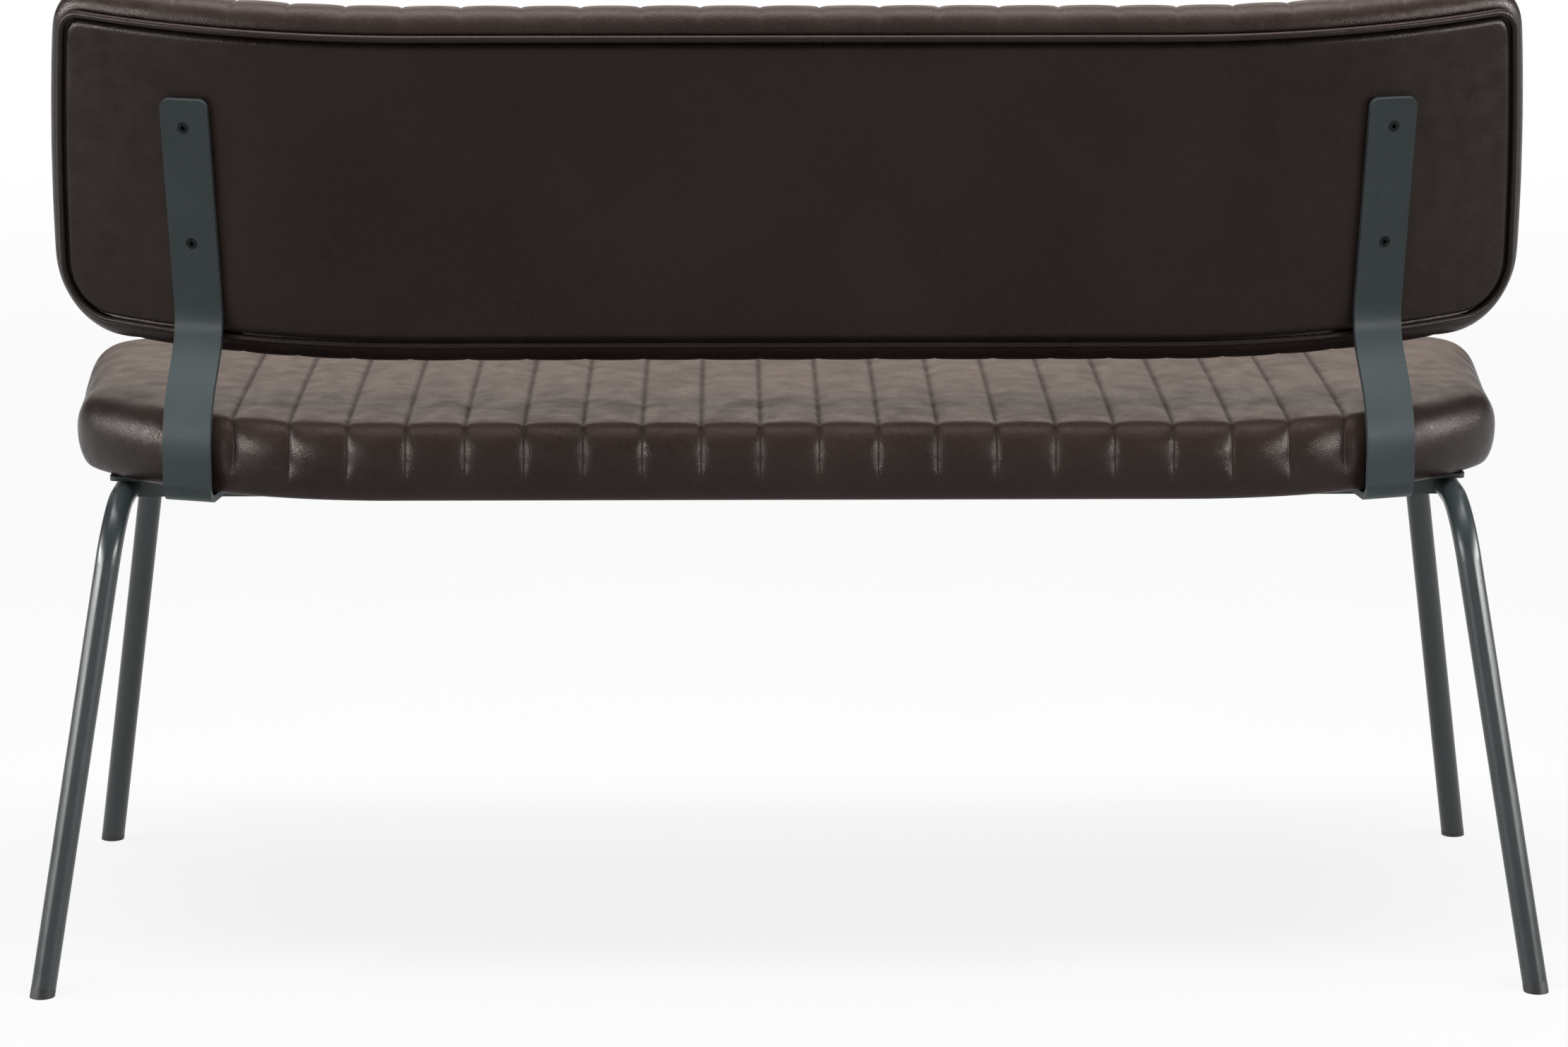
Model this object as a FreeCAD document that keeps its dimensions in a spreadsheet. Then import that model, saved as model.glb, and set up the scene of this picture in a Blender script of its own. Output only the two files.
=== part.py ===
import FreeCAD, Part
import Sketcher

import math
import os

from FreeCAD import Placement, Rotation, Vector

os.makedirs("parts", exist_ok=True)
doc = FreeCAD.newDocument("dining_bench")

# Driving dimensions, in millimetres, degrees and counts.
DIMENSIONS = [
    # Side frames: each a bent tube with a rear leg, a top run and a front leg.
    ("foot_span", 1280.0),
    ("foot_depth", 495.0),
    ("side_tilt", 8.8),
    ("leg_rake", 12.75),
    ("tube_diameter", 21.3),
    ("tube_wall", 2.0),
    ("tube_bend", 60.0),
    ("cap_height", 7.5),
    ("cap_plug", 20.0),
    ("plug_gap", 0.1),
    # Under-seat steel.
    ("rail_depth", 30.0),
    ("rail_height", 18.0),
    ("rail_wall", 2.0),
    ("rail_place", 45.0),
    ("plate_length", 64.0),
    ("plate_width", 40.0),
    ("plate_thick", 4.0),
    ("plate_place", 70.0),
    ("plate_corner", 6.0),
    ("plate_overhang", 13.0),
    ("plate_hole", 16.0),
    # Seat: plan outline, then heights.
    ("seat_rear", 211.0),
    ("seat_front", 250.0),
    ("seat_end_length", 304.0),
    ("seat_arc_radius", 337.0),
    ("seat_arc_angle", 54.0),
    ("seat_corner_radius", 84.0),
    ("seat_splay", 4.0),
    ("seat_front_radius", 90.0),
    ("seat_bottom", 422.0),
    ("seat_thick", 69.0),
    ("seat_crown", 3.0),
    ("seat_belly", 33.0),
    ("seat_tuck", 14.0),
    ("seat_roll", 26.0),
    ("seat_channel_depth", 5.0),
    ("seat_plain_end", 100.0),
    ("channel_pitch", 50.0),
    ("quilt_side", 17.0),
    ("quilt_top", 11.5),
    ("cover_lip", 2.0),
    ("lip_reach", 40.0),
    ("board_thick", 15.0),
    ("lining_thick", 1.0),
    ("lining_inset", 31.0),
    ("soft_gap", 0.3),
    ("end_proud", 1.5),
    # Backrest, measured along its curve and along its lean.
    ("back_set", 141.0),
    ("back_bottom", 524.5),
    ("back_height", 311.0),
    ("back_lean", 11.0),
    ("back_end_length", 329.0),
    ("back_arc_radius", 620.0),
    ("back_reach", 27.0),
    ("back_narrowing", 15.0),
    ("back_corner_low", 76.0),
    ("back_corner_top", 56.0),
    ("back_thick", 58.0),
    ("back_crown", 4.0),
    ("back_channel_depth", 5.0),
    ("back_plain_end", 85.0),
    ("panel_thick", 9.0),
    ("panel_inset", 24.0),
    ("panel_proud", 5.0),
    ("back_board_thick", 12.0),
    ("back_board_inset", 13.0),
    ("back_foam_thick", 27.0),
    ("back_foam_inset", 23.0),
    ("piping_diameter", 6.0),
    # Straps: flat bars that carry the backrest.
    ("strap_inset", 156.0),
    ("strap_plane", 8.6),
    ("strap_width", 44.0),
    ("strap_thick", 6.0),
    ("strap_top", 232.0),
    ("strap_kink", 24.0),
    ("strap_slope", 40.0),
    ("strap_bend_upper", 55.0),
    ("strap_bend_lower", 100.0),
    ("strap_bend_foot", 12.0),
    ("strap_run", 150.0),
    ("strap_seat_gap", 5.5),
    ("strap_corner", 8.0),
    ("strap_bolt_first", 76.0),
    ("strap_bolt_step", 30.0),
    ("screw_from_top", 24.0),
    ("screw_step", 103.0),
    # Fasteners.
    ("bolt_diameter", 6.0),
    ("bolt_head", 11.0),
    ("bolt_head_height", 4.0),
    ("bolt_hole", 6.6),
    ("hex_across", 4.0),
    ("hex_deep", 2.5),
    ("screw_head", 9.8),
    ("screw_head_height", 3.0),
    ("head_gap", 0.2),
    ("tnut_flange", 18.0),
    ("tnut_flange_thick", 1.5),
    ("tnut_barrel", 8.0),
    ("tnut_length", 10.0),
    ("thread_gap", 0.1),
    ("bolt_short", 3.0),
    ("screw_short", 2.0),
]

sheet = doc.addObject("Spreadsheet::Sheet", "Dims")
for row, (alias, number) in enumerate(DIMENSIONS, start=1):
    sheet.set("A%d" % row, alias)
    sheet.set("B%d" % row, str(number))
    sheet.setAlias("B%d" % row, alias)
doc.recompute()


def dim(alias):
    """Read one driving dimension from the sheet."""
    return float(sheet.get(alias))


def rad(alias):
    """Read one angle from the sheet, in radians."""
    return math.radians(dim(alias))


nodes = []


def node(obj, name):
    """Name a finished piece and put it on the list of pieces to write."""
    obj.Label = name
    nodes.append((name, obj))
    return obj


# Profile helpers: runs of lines and arcs in a plane.


def corner_arc(before, corner, after, radius):
    """Return the start, middle and end of an arc that rounds a corner."""
    to_before = (before - corner).normalize()
    to_after = (after - corner).normalize()
    half = to_before.getAngle(to_after) / 2.0
    reach = radius / math.tan(half)
    bisector = (to_before + to_after).normalize()
    centre = corner + bisector * (radius / math.sin(half))
    return corner + to_before * reach, centre - bisector * radius, corner + to_after * reach


def rounded_run(points, radii):
    """Return the lines and arcs of a polyline whose inner corners are rounded."""
    run = []
    here = points[0]
    for index, radius in enumerate(radii, start=1):
        start, middle, end = corner_arc(points[index - 1], points[index], points[index + 1], radius)
        run.append((here, start))
        run.append((start, middle, end))
        here = end
    run.append((here, points[-1]))
    return run


def reverse_run(run):
    """Return a run of lines and arcs drawn the other way."""
    return [tuple(reversed(piece)) for piece in reversed(run)]


def offset_points(points, distance):
    """Shift a polyline to its left by a distance."""
    lefts = []
    for first, second in zip(points[:-1], points[1:]):
        along = (second - first).normalize()
        lefts.append(Vector(-along.y, along.x, 0))
    shifted = [points[0] + lefts[0] * distance]
    for index in range(1, len(points) - 1):
        mitre = lefts[index - 1] + lefts[index]
        mitre = mitre * (2.0 / mitre.dot(mitre))
        shifted.append(points[index] + mitre * distance)
    shifted.append(points[-1] + lefts[-1] * distance)
    return shifted


def bar_outline(points, radii, thick):
    """Return the closed outline of a bent bar about its middle line."""
    sides = []
    for side in (1.0, -1.0):
        distance = side * thick / 2.0
        eased = []
        for index, radius in enumerate(radii, start=1):
            turn = (points[index] - points[index - 1]).cross(points[index + 1] - points[index]).z
            eased.append(radius - math.copysign(distance, turn * distance))
        sides.append(rounded_run(offset_points(points, distance), eased))
    outline = list(sides[0])
    outline.append((sides[0][-1][-1], sides[1][-1][-1]))
    outline += reverse_run(sides[1])
    outline.append((sides[1][0][0], sides[0][0][0]))
    return outline


def edge_of(piece):
    """Turn one line (two points) or arc (three points) into an edge."""
    if len(piece) == 2:
        return Part.makeLine(piece[0], piece[1])
    return Part.Arc(piece[0], piece[1], piece[2]).toShape()


def wire_of(run):
    """Join a run of lines and arcs into a wire."""
    return Part.Wire([edge_of(piece) for piece in run])


def draw(sketch, run, closed):
    """Draw a run of lines and arcs in a sketch, joined end to end."""
    ends = []
    for piece in run:
        if len(piece) == 2:
            index = sketch.addGeometry(Part.LineSegment(piece[0], piece[1]), False)
            ends.append((index, 1, 2))
            continue
        arc = Part.Arc(piece[0], piece[1], piece[2])
        turn = (piece[1] - piece[0]).cross(piece[2] - piece[1]).z
        if turn < 0:
            arc = Part.Arc(piece[2], piece[1], piece[0])
        index = sketch.addGeometry(arc, False)
        ends.append((index, 1, 2) if turn > 0 else (index, 2, 1))
    pairs = list(zip(ends[:-1], ends[1:]))
    if closed:
        pairs.append((ends[-1], ends[0]))
    for (first, _, stop), (second, go, _) in pairs:
        sketch.addConstraint(Sketcher.Constraint("Coincident", first, stop, second, go))
    return [entry[0] for entry in ends]


def bind(sketch, kind, geometry, name, expression):
    """Dimension one line or arc of a sketch and tie it to the sheet."""
    shape = sketch.Geometry[geometry]
    value = shape.Radius if kind == "Radius" else shape.length()
    index = sketch.addConstraint(Sketcher.Constraint(kind, geometry, value))
    sketch.renameConstraint(index, name)
    sketch.setExpression("Constraints." + name, expression)


def plane_of(body, role):
    """Find one of a body's origin planes."""
    return [item for item in body.Origin.OriginFeatures if item.Role == role][0]


def new_sketch(body, role, name, height=0.0):
    """Start a sketch on a plane of its body, lifted along the plane's normal."""
    sketch = body.newObject("Sketcher::SketchObject", name)
    sketch.AttachmentSupport = [(plane_of(body, role), "")]
    sketch.MapMode = "FlatFace"
    sketch.AttachmentOffset = Placement(Vector(0, 0, height), Rotation())
    return sketch


def pad(body, sketch, expression, name):
    """Pad a sketch by a length from the sheet."""
    feature = body.newObject("PartDesign::Pad", name)
    feature.Profile = sketch
    feature.setExpression("Length", expression)
    return feature


def group(name, pieces):
    """Keep like pieces together as one node."""
    compound = doc.addObject("Part::Compound", name)
    compound.Links = pieces
    return node(compound, name)


def cylinder(name, radius, height, placement):
    """Add a cylinder whose radius and height come from the sheet."""
    item = doc.addObject("Part::Cylinder", name)
    item.setExpression("Radius", radius)
    item.setExpression("Height", height)
    item.Placement = placement
    return item


def cut(name, base, tool):
    """Cut one object from another."""
    item = doc.addObject("Part::Cut", name)
    item.Base = base
    item.Tool = tool
    return item


def fuse(name, pieces):
    """Join several objects."""
    item = doc.addObject("Part::MultiFuse", name)
    item.Shapes = pieces
    return item


def mirrored(source, name):
    """Mirror a piece to the other end of the bench."""
    item = doc.addObject("Part::Mirroring", name)
    item.Source = source
    item.Normal = Vector(1, 0, 0)
    item.Base = Vector(0, 0, 0)
    return node(item, name)


def solid_feature(name, shape):
    """Add a piece whose form is set directly."""
    item = doc.addObject("Part::Feature", name)
    item.Shape = shape
    item.Placement = Placement()
    return item


# Lengths along the bench, which all follow the span of the feet.
bench_half = dim("foot_span") / 2.0
seat_flat = bench_half - dim("seat_end_length")
back_flat = bench_half - dim("back_end_length")
back_half = bench_half + dim("back_reach")
back_half_top = back_half - dim("back_narrowing")
strap_place = back_half - dim("strap_inset")

# Levels that the pieces share.
lining_bottom = dim("seat_bottom") - dim("lining_thick")
plate_bottom = lining_bottom - dim("plate_thick")
tube_radius = dim("tube_diameter") / 2.0
run_height = plate_bottom - tube_radius
strap_bottom = lining_bottom - dim("strap_thick")
board_bottom = dim("seat_bottom") + dim("cover_lip")
board_top = board_bottom + dim("board_thick")
seat_top = dim("seat_bottom") + dim("seat_thick")


# Seat outline in plan. An inset moves the whole outline inwards.


def seat_corners(inset):
    """Return the key points of the outline's +X half, from rear to front."""
    arc_angle = rad("seat_arc_angle")
    side_angle = math.pi / 2.0 - rad("seat_splay")
    big = dim("seat_arc_radius") - inset
    small = dim("seat_corner_radius") - inset
    front_radius = dim("seat_front_radius") - inset
    rear_centre = Vector(seat_flat, dim("seat_rear") - dim("seat_arc_radius"), 0)
    shift = dim("seat_arc_radius") - dim("seat_corner_radius")
    corner_centre = rear_centre + Vector(math.sin(arc_angle), math.cos(arc_angle), 0) * shift

    def on(centre, radius, angle):
        return centre + Vector(math.sin(angle), math.cos(angle), 0) * radius

    side_start = on(corner_centre, small, side_angle)
    front_y = -dim("seat_front") + dim("seat_front_radius")
    drop = side_start.y - (front_y + front_radius * math.cos(side_angle))
    side_end = side_start + Vector(math.tan(rad("seat_splay")), -1, 0) * drop
    front_centre = side_end - Vector(math.sin(side_angle), math.cos(side_angle), 0) * front_radius
    return {
        "rear": on(rear_centre, big, 0.0),
        "arc_middle": on(rear_centre, big, arc_angle / 2.0),
        "arc_end": on(rear_centre, big, arc_angle),
        "corner_middle": on(corner_centre, small, (arc_angle + side_angle) / 2.0),
        "side_start": side_start,
        "side_end": side_end,
        "front_middle": on(front_centre, front_radius, (side_angle + math.pi) / 2.0),
        "front": on(front_centre, front_radius, math.pi),
        "arc_centre": rear_centre,
        "arc_radius": big,
    }


def flip(point):
    """Mirror a point to the other half of the plan."""
    return Vector(-point.x, point.y, point.z)


def seat_outline(inset, height=0.0):
    """Return the closed outline of the seat in plan, as lines and arcs."""
    key = seat_corners(inset)
    half = [
        (key["rear"], key["arc_middle"], key["arc_end"]),
        (key["arc_end"], key["corner_middle"], key["side_start"]),
        (key["side_start"], key["side_end"]),
        (key["side_end"], key["front_middle"], key["front"]),
    ]
    other = reverse_run([tuple(flip(point) for point in piece) for piece in half])
    run = half + [(key["front"], flip(key["front"]))] + other + [(flip(key["rear"]), key["rear"])]
    lift = Vector(0, 0, height)
    return [tuple(point + lift for point in piece) for piece in run]


def seat_rear_at(x, inset):
    """Return how far back the outline reaches at a place along the bench."""
    key = seat_corners(inset)
    beyond = max(0.0, abs(x) - seat_flat)
    return key["arc_centre"].y + math.sqrt(key["arc_radius"] ** 2 - beyond ** 2)


# Backrest surface: flat in the middle, with ends that curve forward, then
# leaned back as a whole.

back_placement = Placement(
    Vector(0, dim("back_set"), dim("back_bottom")),
    Rotation(Vector(1, 0, 0), -dim("back_lean")),
)


def back_angle(along):
    """Return the turn of the backrest at a distance along its curve."""
    return math.copysign(max(0.0, abs(along) - back_flat) / dim("back_arc_radius"), along)


def curve_point(along, depth, height):
    """Return a point of the upright backrest: depth is forward of its rear face."""
    turn = back_angle(along)
    straight = max(-back_flat, min(back_flat, along))
    radius = dim("back_arc_radius")
    x = straight + (radius - depth) * math.sin(turn)
    y = (radius - depth) * math.cos(turn) - radius
    return Vector(x, y, height)


back_taper = 1.0 - back_half_top / back_half


def back_point(along, depth, height):
    """Return a point of the cover, which narrows a little towards the top."""
    low = curve_point(along, 0.0, 0.0)
    top = curve_point(along * (1.0 - back_taper), 0.0, dim("back_height"))
    turn = back_angle(along * (1.0 - back_taper / 2.0))
    forward = Vector(-math.sin(turn), -math.cos(turn), 0)
    return low + (top - low) * (height / dim("back_height")) + forward * depth


def back_strip(near, far):
    """Return the plan outline of a curved sheet between two depths."""
    flat = back_flat
    half = back_half
    middle = (flat + half) / 2.0
    sides = []
    for depth in (near, far):
        sides.append([
            (curve_point(-half, depth, 0), curve_point(-middle, depth, 0), curve_point(-flat, depth, 0)),
            (curve_point(-flat, depth, 0), curve_point(flat, depth, 0)),
            (curve_point(flat, depth, 0), curve_point(middle, depth, 0), curve_point(half, depth, 0)),
        ])
    rear, front = sides
    outer_end = (rear[-1][-1], front[-1][-1])
    return rear + [outer_end] + reverse_run(front) + [(front[0][0], rear[0][0])]


def closed_round(corners, radii):
    """Return a closed polygon with rounded corners, as lines and arcs."""
    arcs = []
    for index, radius in enumerate(radii):
        following = corners[(index + 1) % len(corners)]
        arcs.append(corner_arc(corners[index - 1], corners[index], following, radius))
    run = []
    for index, arc in enumerate(arcs):
        run.append(arc)
        run.append((arc[2], arcs[(index + 1) % len(arcs)][0]))
    return run


def back_front(inset, depth):
    """Return the outline seen from the front of a sheet that reaches a depth."""
    low = curve_point(back_half, depth, 0).x - inset
    top = curve_point(back_half_top, depth, 0).x - inset
    high = dim("back_height") - inset
    corners = [Vector(-low, inset, 0), Vector(low, inset, 0), Vector(top, high, 0), Vector(-top, high, 0)]
    low_radius = dim("back_corner_low") - inset
    top_radius = dim("back_corner_top") - inset
    return closed_round(corners, [low_radius, low_radius, top_radius, top_radius])


def curved_sheet(name, depths, inset, thickness):
    """Build a curved sheet of the backrest: its plan crossed with its front outline."""
    near, far = depths
    bent = doc.addObject("PartDesign::Body", name + "_bent")
    plan = new_sketch(bent, "XY_Plane", name + "_plan")
    ids = draw(plan, back_strip(near, far), True)
    bind(plan, "Distance", ids[3], "thick", thickness)
    pad(bent, plan, "Dims.back_height", name + "_bent_pad")
    face = doc.addObject("PartDesign::Body", name + "_face")
    front = new_sketch(face, "XZ_Plane", name + "_front", -dim("back_thick"))
    draw(front, back_front(inset, far), True)
    pad(face, front, "Dims.back_arc_radius", name + "_face_pad")
    sheet_form = doc.addObject("Part::Common", name + "_form")
    sheet_form.Base = bent
    sheet_form.Tool = face
    sheet_form.Placement = back_placement
    return sheet_form


# Side frames: one bent tube for each pair of legs, leaning inwards.

side_tilt = rad("side_tilt")
rake = rad("leg_rake")
frame_placement = Placement(
    Vector(dim("foot_span") / 2.0, 0, 0),
    Rotation(Vector(0, 1, 0), -dim("side_tilt")),
)
run_rise = run_height / math.cos(side_tilt)
foot_out = dim("foot_depth") / 2.0
knee_out = foot_out - run_rise * math.tan(rake)
end_out = foot_out - dim("cap_height") * math.sin(rake)
end_rise = dim("cap_height") * math.cos(rake)
tube_points = [
    Vector(end_out, end_rise, 0),
    Vector(knee_out, run_rise, 0),
    Vector(-knee_out, run_rise, 0),
    Vector(-end_out, end_rise, 0),
]

tube_body = doc.addObject("PartDesign::Body", "side_frame_body")
tube_path = new_sketch(tube_body, "YZ_Plane", "side_frame_path")
tube_ids = draw(tube_path, rounded_run(tube_points, [dim("tube_bend")] * 2), False)
bind(tube_path, "Radius", tube_ids[1], "rear_bend", "Dims.tube_bend")
bind(tube_path, "Radius", tube_ids[3], "front_bend", "Dims.tube_bend")
doc.recompute()
tube_profile = tube_body.newObject("Sketcher::SketchObject", "side_frame_ring")
tube_profile.AttachmentSupport = [(tube_path, "Edge1")]
tube_profile.MapMode = "NormalToEdge"
tube_profile.MapPathParameter = 0.0
for ring_name, ring_size in (("outer", "Dims.tube_diameter"),
                             ("inner", "Dims.tube_diameter - 2 * Dims.tube_wall")):
    ring_radius = tube_radius if ring_name == "outer" else tube_radius - dim("tube_wall")
    ring = tube_profile.addGeometry(Part.Circle(Vector(0, 0, 0), Vector(0, 0, 1), ring_radius), False)
    tube_profile.addConstraint(Sketcher.Constraint("Coincident", ring, 3, -1, 1))
    ring_index = tube_profile.addConstraint(Sketcher.Constraint("Diameter", ring, 2.0 * ring_radius))
    tube_profile.renameConstraint(ring_index, ring_name)
    tube_profile.setExpression("Constraints." + ring_name, ring_size)
doc.recompute()
tube_pipe = tube_body.newObject("PartDesign::AdditivePipe", "side_frame_pipe")
tube_pipe.Profile = tube_profile
tube_pipe.Spine = (tube_path, ["Edge%d" % number for number in range(1, len(tube_ids) + 1)])
tube_body.Placement = frame_placement
node(tube_body, "left_side_frame")
mirrored(tube_body, "right_side_frame")

# Foot caps: a plug in each tube end, cut flat where it stands on the floor.

floor_size = 2.0 * (dim("foot_span") + dim("foot_depth"))
floor_block = doc.addObject("Part::Box", "floor_block")
floor_block.setExpression("Length", "2 * (Dims.foot_span + Dims.foot_depth)")
floor_block.setExpression("Width", "2 * (Dims.foot_span + Dims.foot_depth)")
floor_block.setExpression("Height", "2 * Dims.cap_height + Dims.tube_diameter")
floor_block.Placement = Placement(
    Vector(-floor_size / 2.0, -floor_size / 2.0, -2.0 * dim("cap_height") - dim("tube_diameter")),
    Rotation(),
)


def leg_axis(toward):
    """Return the foot's point on the floor and the direction up the leg."""
    foot = frame_placement.multVec(Vector(0, toward * foot_out, 0))
    up = frame_placement.Rotation.multVec(Vector(0, -toward * math.sin(rake), math.cos(rake)))
    return foot, up


for place, toward in (("rear", 1.0), ("front", -1.0)):
    foot, up = leg_axis(toward)
    turn = Rotation(Vector(0, 0, 1), up)
    low = foot - up * dim("cap_height")
    tread = cylinder(place + "_tread", "Dims.tube_diameter / 2", "2 * Dims.cap_height", Placement(low, turn))
    plug = cylinder(
        place + "_plug",
        "Dims.tube_diameter / 2 - Dims.tube_wall - Dims.plug_gap",
        "Dims.cap_plug + Dims.cap_height",
        Placement(foot, turn),
    )
    whole = fuse(place + "_cap_whole", [tread, plug])
    left_cap = node(cut("left_%s_cap_cut" % place, whole, floor_block), "left_%s_cap" % place)
    mirrored(left_cap, "right_%s_cap" % place)

# Rails: rectangular tubes under the seat, coped to the side frames.

frame_reach = dim("foot_span") / 2.0 - run_height * math.tan(side_tilt)
for place, toward in (("rear", 1.0), ("front", -1.0)):
    outer = doc.addObject("Part::Box", place + "_rail_outer")
    outer.setExpression("Width", "Dims.rail_depth")
    outer.setExpression("Height", "Dims.rail_height")
    outer.Length = 2.0 * frame_reach
    corner = Vector(-frame_reach, toward * dim("rail_place") - dim("rail_depth") / 2.0,
                    strap_bottom - dim("rail_height"))
    outer.Placement = Placement(corner, Rotation())
    inner = doc.addObject("Part::Box", place + "_rail_inner")
    inner.setExpression("Width", "Dims.rail_depth - 2 * Dims.rail_wall")
    inner.setExpression("Height", "Dims.rail_height - 2 * Dims.rail_wall")
    inner.Length = 2.0 * frame_reach
    inset = Vector(0, dim("rail_wall"), dim("rail_wall"))
    inner.Placement = Placement(corner + inset, Rotation())
    copes = []
    for side in (-1.0, 1.0):
        start = Vector(side * frame_reach, toward * dim("rail_place") - dim("rail_depth"), run_height)
        copes.append(cylinder(
            "%s_cope_%s" % (place, "left" if side > 0 else "right"),
            "Dims.tube_diameter / 2",
            "2 * Dims.rail_depth",
            Placement(start, Rotation(Vector(0, 0, 1), Vector(0, 1, 0))),
        ))
    removed = fuse(place + "_rail_removed", [inner] + copes)
    node(cut(place + "_rail_cut", outer, removed), place + "_rail")

# Straps. Each stands in an upright plane turned to face the panel it carries.

face_turn = back_angle(strap_place)
lean = rad("back_lean")
plane_turn = rad("strap_plane")
level_turn = math.atan2(math.sin(face_turn), math.cos(face_turn) * math.cos(lean))
panel_normal = Vector(
    math.sin(face_turn), math.cos(face_turn) * math.cos(lean), -math.cos(face_turn) * math.sin(lean))
plane_back = Vector(math.sin(plane_turn), math.cos(plane_turn), 0)
normal_share = panel_normal.dot(plane_back)
strap_lean = math.atan2(-panel_normal.z, normal_share)
strap_middle = back_placement.multVec(curve_point(strap_place, 0.0, dim("back_height") / 2.0))
strap_origin = Vector(strap_middle.x, strap_middle.y, 0)
strap_rotation = Rotation(Vector(0, 0, 1), -dim("strap_plane"))
strap_across = Vector(math.cos(level_turn), -math.sin(level_turn), 0)


def strap_world(side, back, up):
    """Return the place in the bench of a point given in the strap's plane."""
    return strap_origin + strap_across * side + plane_back * back + Vector(0, 0, up)


def strap_standing_place():
    """Find how far back the upright part stands to clear the seat."""
    back = 0.0
    for _ in range(12):
        inner = strap_world(-dim("strap_width") / 2.0, back, 0)
        back += seat_rear_at(inner.x, 0.0) + dim("strap_seat_gap") - inner.y
    return back + dim("strap_thick") / 2.0


thick_half = dim("strap_thick") / 2.0
panel_off = dim("soft_gap") / normal_share
bar_off = thick_half / math.cos(strap_lean)


def on_panel(height):
    """Return where the strap's plane meets the panel at a height."""
    return (height - strap_middle.z) * math.tan(strap_lean)


def bar_middle(height):
    """Return the strap's middle line where it lies on the panel."""
    return Vector(on_panel(height) + panel_off + bar_off, height, 0)


panel_low = back_placement.multVec(curve_point(strap_place, 0.0, 0.0)).z
kink = bar_middle(panel_low + dim("strap_kink"))
standing = strap_standing_place()
fall = (standing - kink.x) / math.tan(rad("strap_slope"))
foot_level = strap_bottom + thick_half
strap_end = bar_middle(panel_low + dim("strap_top") * math.cos(strap_lean))
strap_points = [
    strap_end,
    kink,
    Vector(standing, kink.y - fall, 0),
    Vector(standing, foot_level, 0),
    Vector(standing - dim("strap_run"), foot_level, 0),
]
strap_radii = [dim("strap_bend_upper"), dim("strap_bend_lower"), dim("strap_bend_foot")]

strap_body = doc.addObject("PartDesign::Body", "strap_body")
strap_sketch = new_sketch(strap_body, "YZ_Plane", "strap_side")
strap_ids = draw(strap_sketch, bar_outline(strap_points, strap_radii, dim("strap_thick")), True)
bind(strap_sketch, "Distance", strap_ids[7], "thick", "Dims.strap_thick")
strap_pad = pad(strap_body, strap_sketch, "Dims.strap_width", "strap_pad")
strap_pad.UseCustomVector = True
strap_pad.Direction = strap_rotation.inverted().multVec(strap_across)
strap_pad.AlongSketchNormal = False
doc.recompute()
end_edges = []
for number, edge in enumerate(strap_pad.Shape.Edges, start=1):
    at_end = abs(edge.CenterOfMass.z - strap_end.y) < 0.01
    if at_end and abs(edge.Length - dim("strap_thick")) < 0.01:
        end_edges.append("Edge%d" % number)
strap_ease = strap_body.newObject("PartDesign::Fillet", "strap_corners")
strap_ease.Base = (strap_pad, end_edges)
strap_ease.setExpression("Radius", "Dims.strap_corner")
strap_body.Placement = Placement(strap_world(-dim("strap_width") / 2.0, 0, 0), strap_rotation)

# Screw places on the panel and bolt places under the seat, in the strap's plane.

outward = panel_normal
into_panel = Rotation(Vector(0, 0, 1), outward * -1.0)
face_off = dim("soft_gap") + 2.0 * bar_off * normal_share
screw_heads = []
panel_spots = []
for count in range(2):
    down = dim("screw_from_top") + count * dim("screw_step")
    height = strap_end.y - down * math.cos(strap_lean)
    panel_spots.append(strap_world(0, on_panel(height), height))
    screw_heads.append(panel_spots[-1] + outward * face_off)
bolt_spots = []
for count in range(2):
    forward = dim("strap_bolt_first") + count * dim("strap_bolt_step")
    bolt_spots.append(Vector(0, standing + thick_half - forward, strap_bottom))

strap_cuts = []
for count, place in enumerate(screw_heads, start=1):
    strap_cuts.append(cylinder("strap_screw_hole_%d" % count, "Dims.bolt_hole / 2",
                               "2 * Dims.strap_thick", Placement(place, into_panel)))
    strap_cuts.append(cylinder("strap_screw_seat_%d" % count, "Dims.screw_head / 2 + Dims.head_gap",
                               "Dims.screw_head_height + Dims.head_gap", Placement(place, into_panel)))
for count, spot in enumerate(bolt_spots, start=1):
    place = strap_world(spot.x, spot.y, spot.z - dim("strap_thick"))
    strap_cuts.append(cylinder("strap_bolt_hole_%d" % count, "Dims.bolt_hole / 2",
                               "3 * Dims.strap_thick", Placement(place, Rotation())))
left_strap = node(cut("strap_holed", strap_body, fuse("strap_holes", strap_cuts)), "left_strap")
mirrored(left_strap, "right_strap")


# Fasteners. Each is made at one place and mirrored to the other end.


def hex_socket(name, place, turn):
    """Add the six-sided recess of a screw head."""
    item = doc.addObject("Part::Prism", name)
    item.Polygon = 6
    item.setExpression("Circumradius", "Dims.hex_across / 2 / cos(30 deg)")
    item.setExpression("Height", "Dims.hex_deep")
    item.Placement = Placement(place, turn)
    return item


def screw(name, place, turn, head, head_height, length):
    """Build a screw from the outside of its head along its shank."""
    cap = cylinder(name + "_head", head, head_height, Placement(place, turn))
    shank = cylinder(name + "_shank", "Dims.bolt_diameter / 2", length, Placement(place, turn))
    whole = fuse(name + "_whole", [cap, shank])
    return cut(name, whole, hex_socket(name + "_socket", place, turn))


def tnut(name, place, turn):
    """Build a flanged nut from the outside of its flange along its barrel."""
    flange = cylinder(
        name + "_flange", "Dims.tnut_flange / 2", "Dims.tnut_flange_thick", Placement(place, turn))
    barrel = cylinder(name + "_barrel", "Dims.tnut_barrel / 2", "Dims.tnut_length", Placement(place, turn))
    bore = cylinder(name + "_bore", "Dims.bolt_diameter / 2 + Dims.thread_gap",
                    "Dims.tnut_length", Placement(place, turn))
    return cut(name, fuse(name + "_whole", [flange, barrel]), bore)


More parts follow.
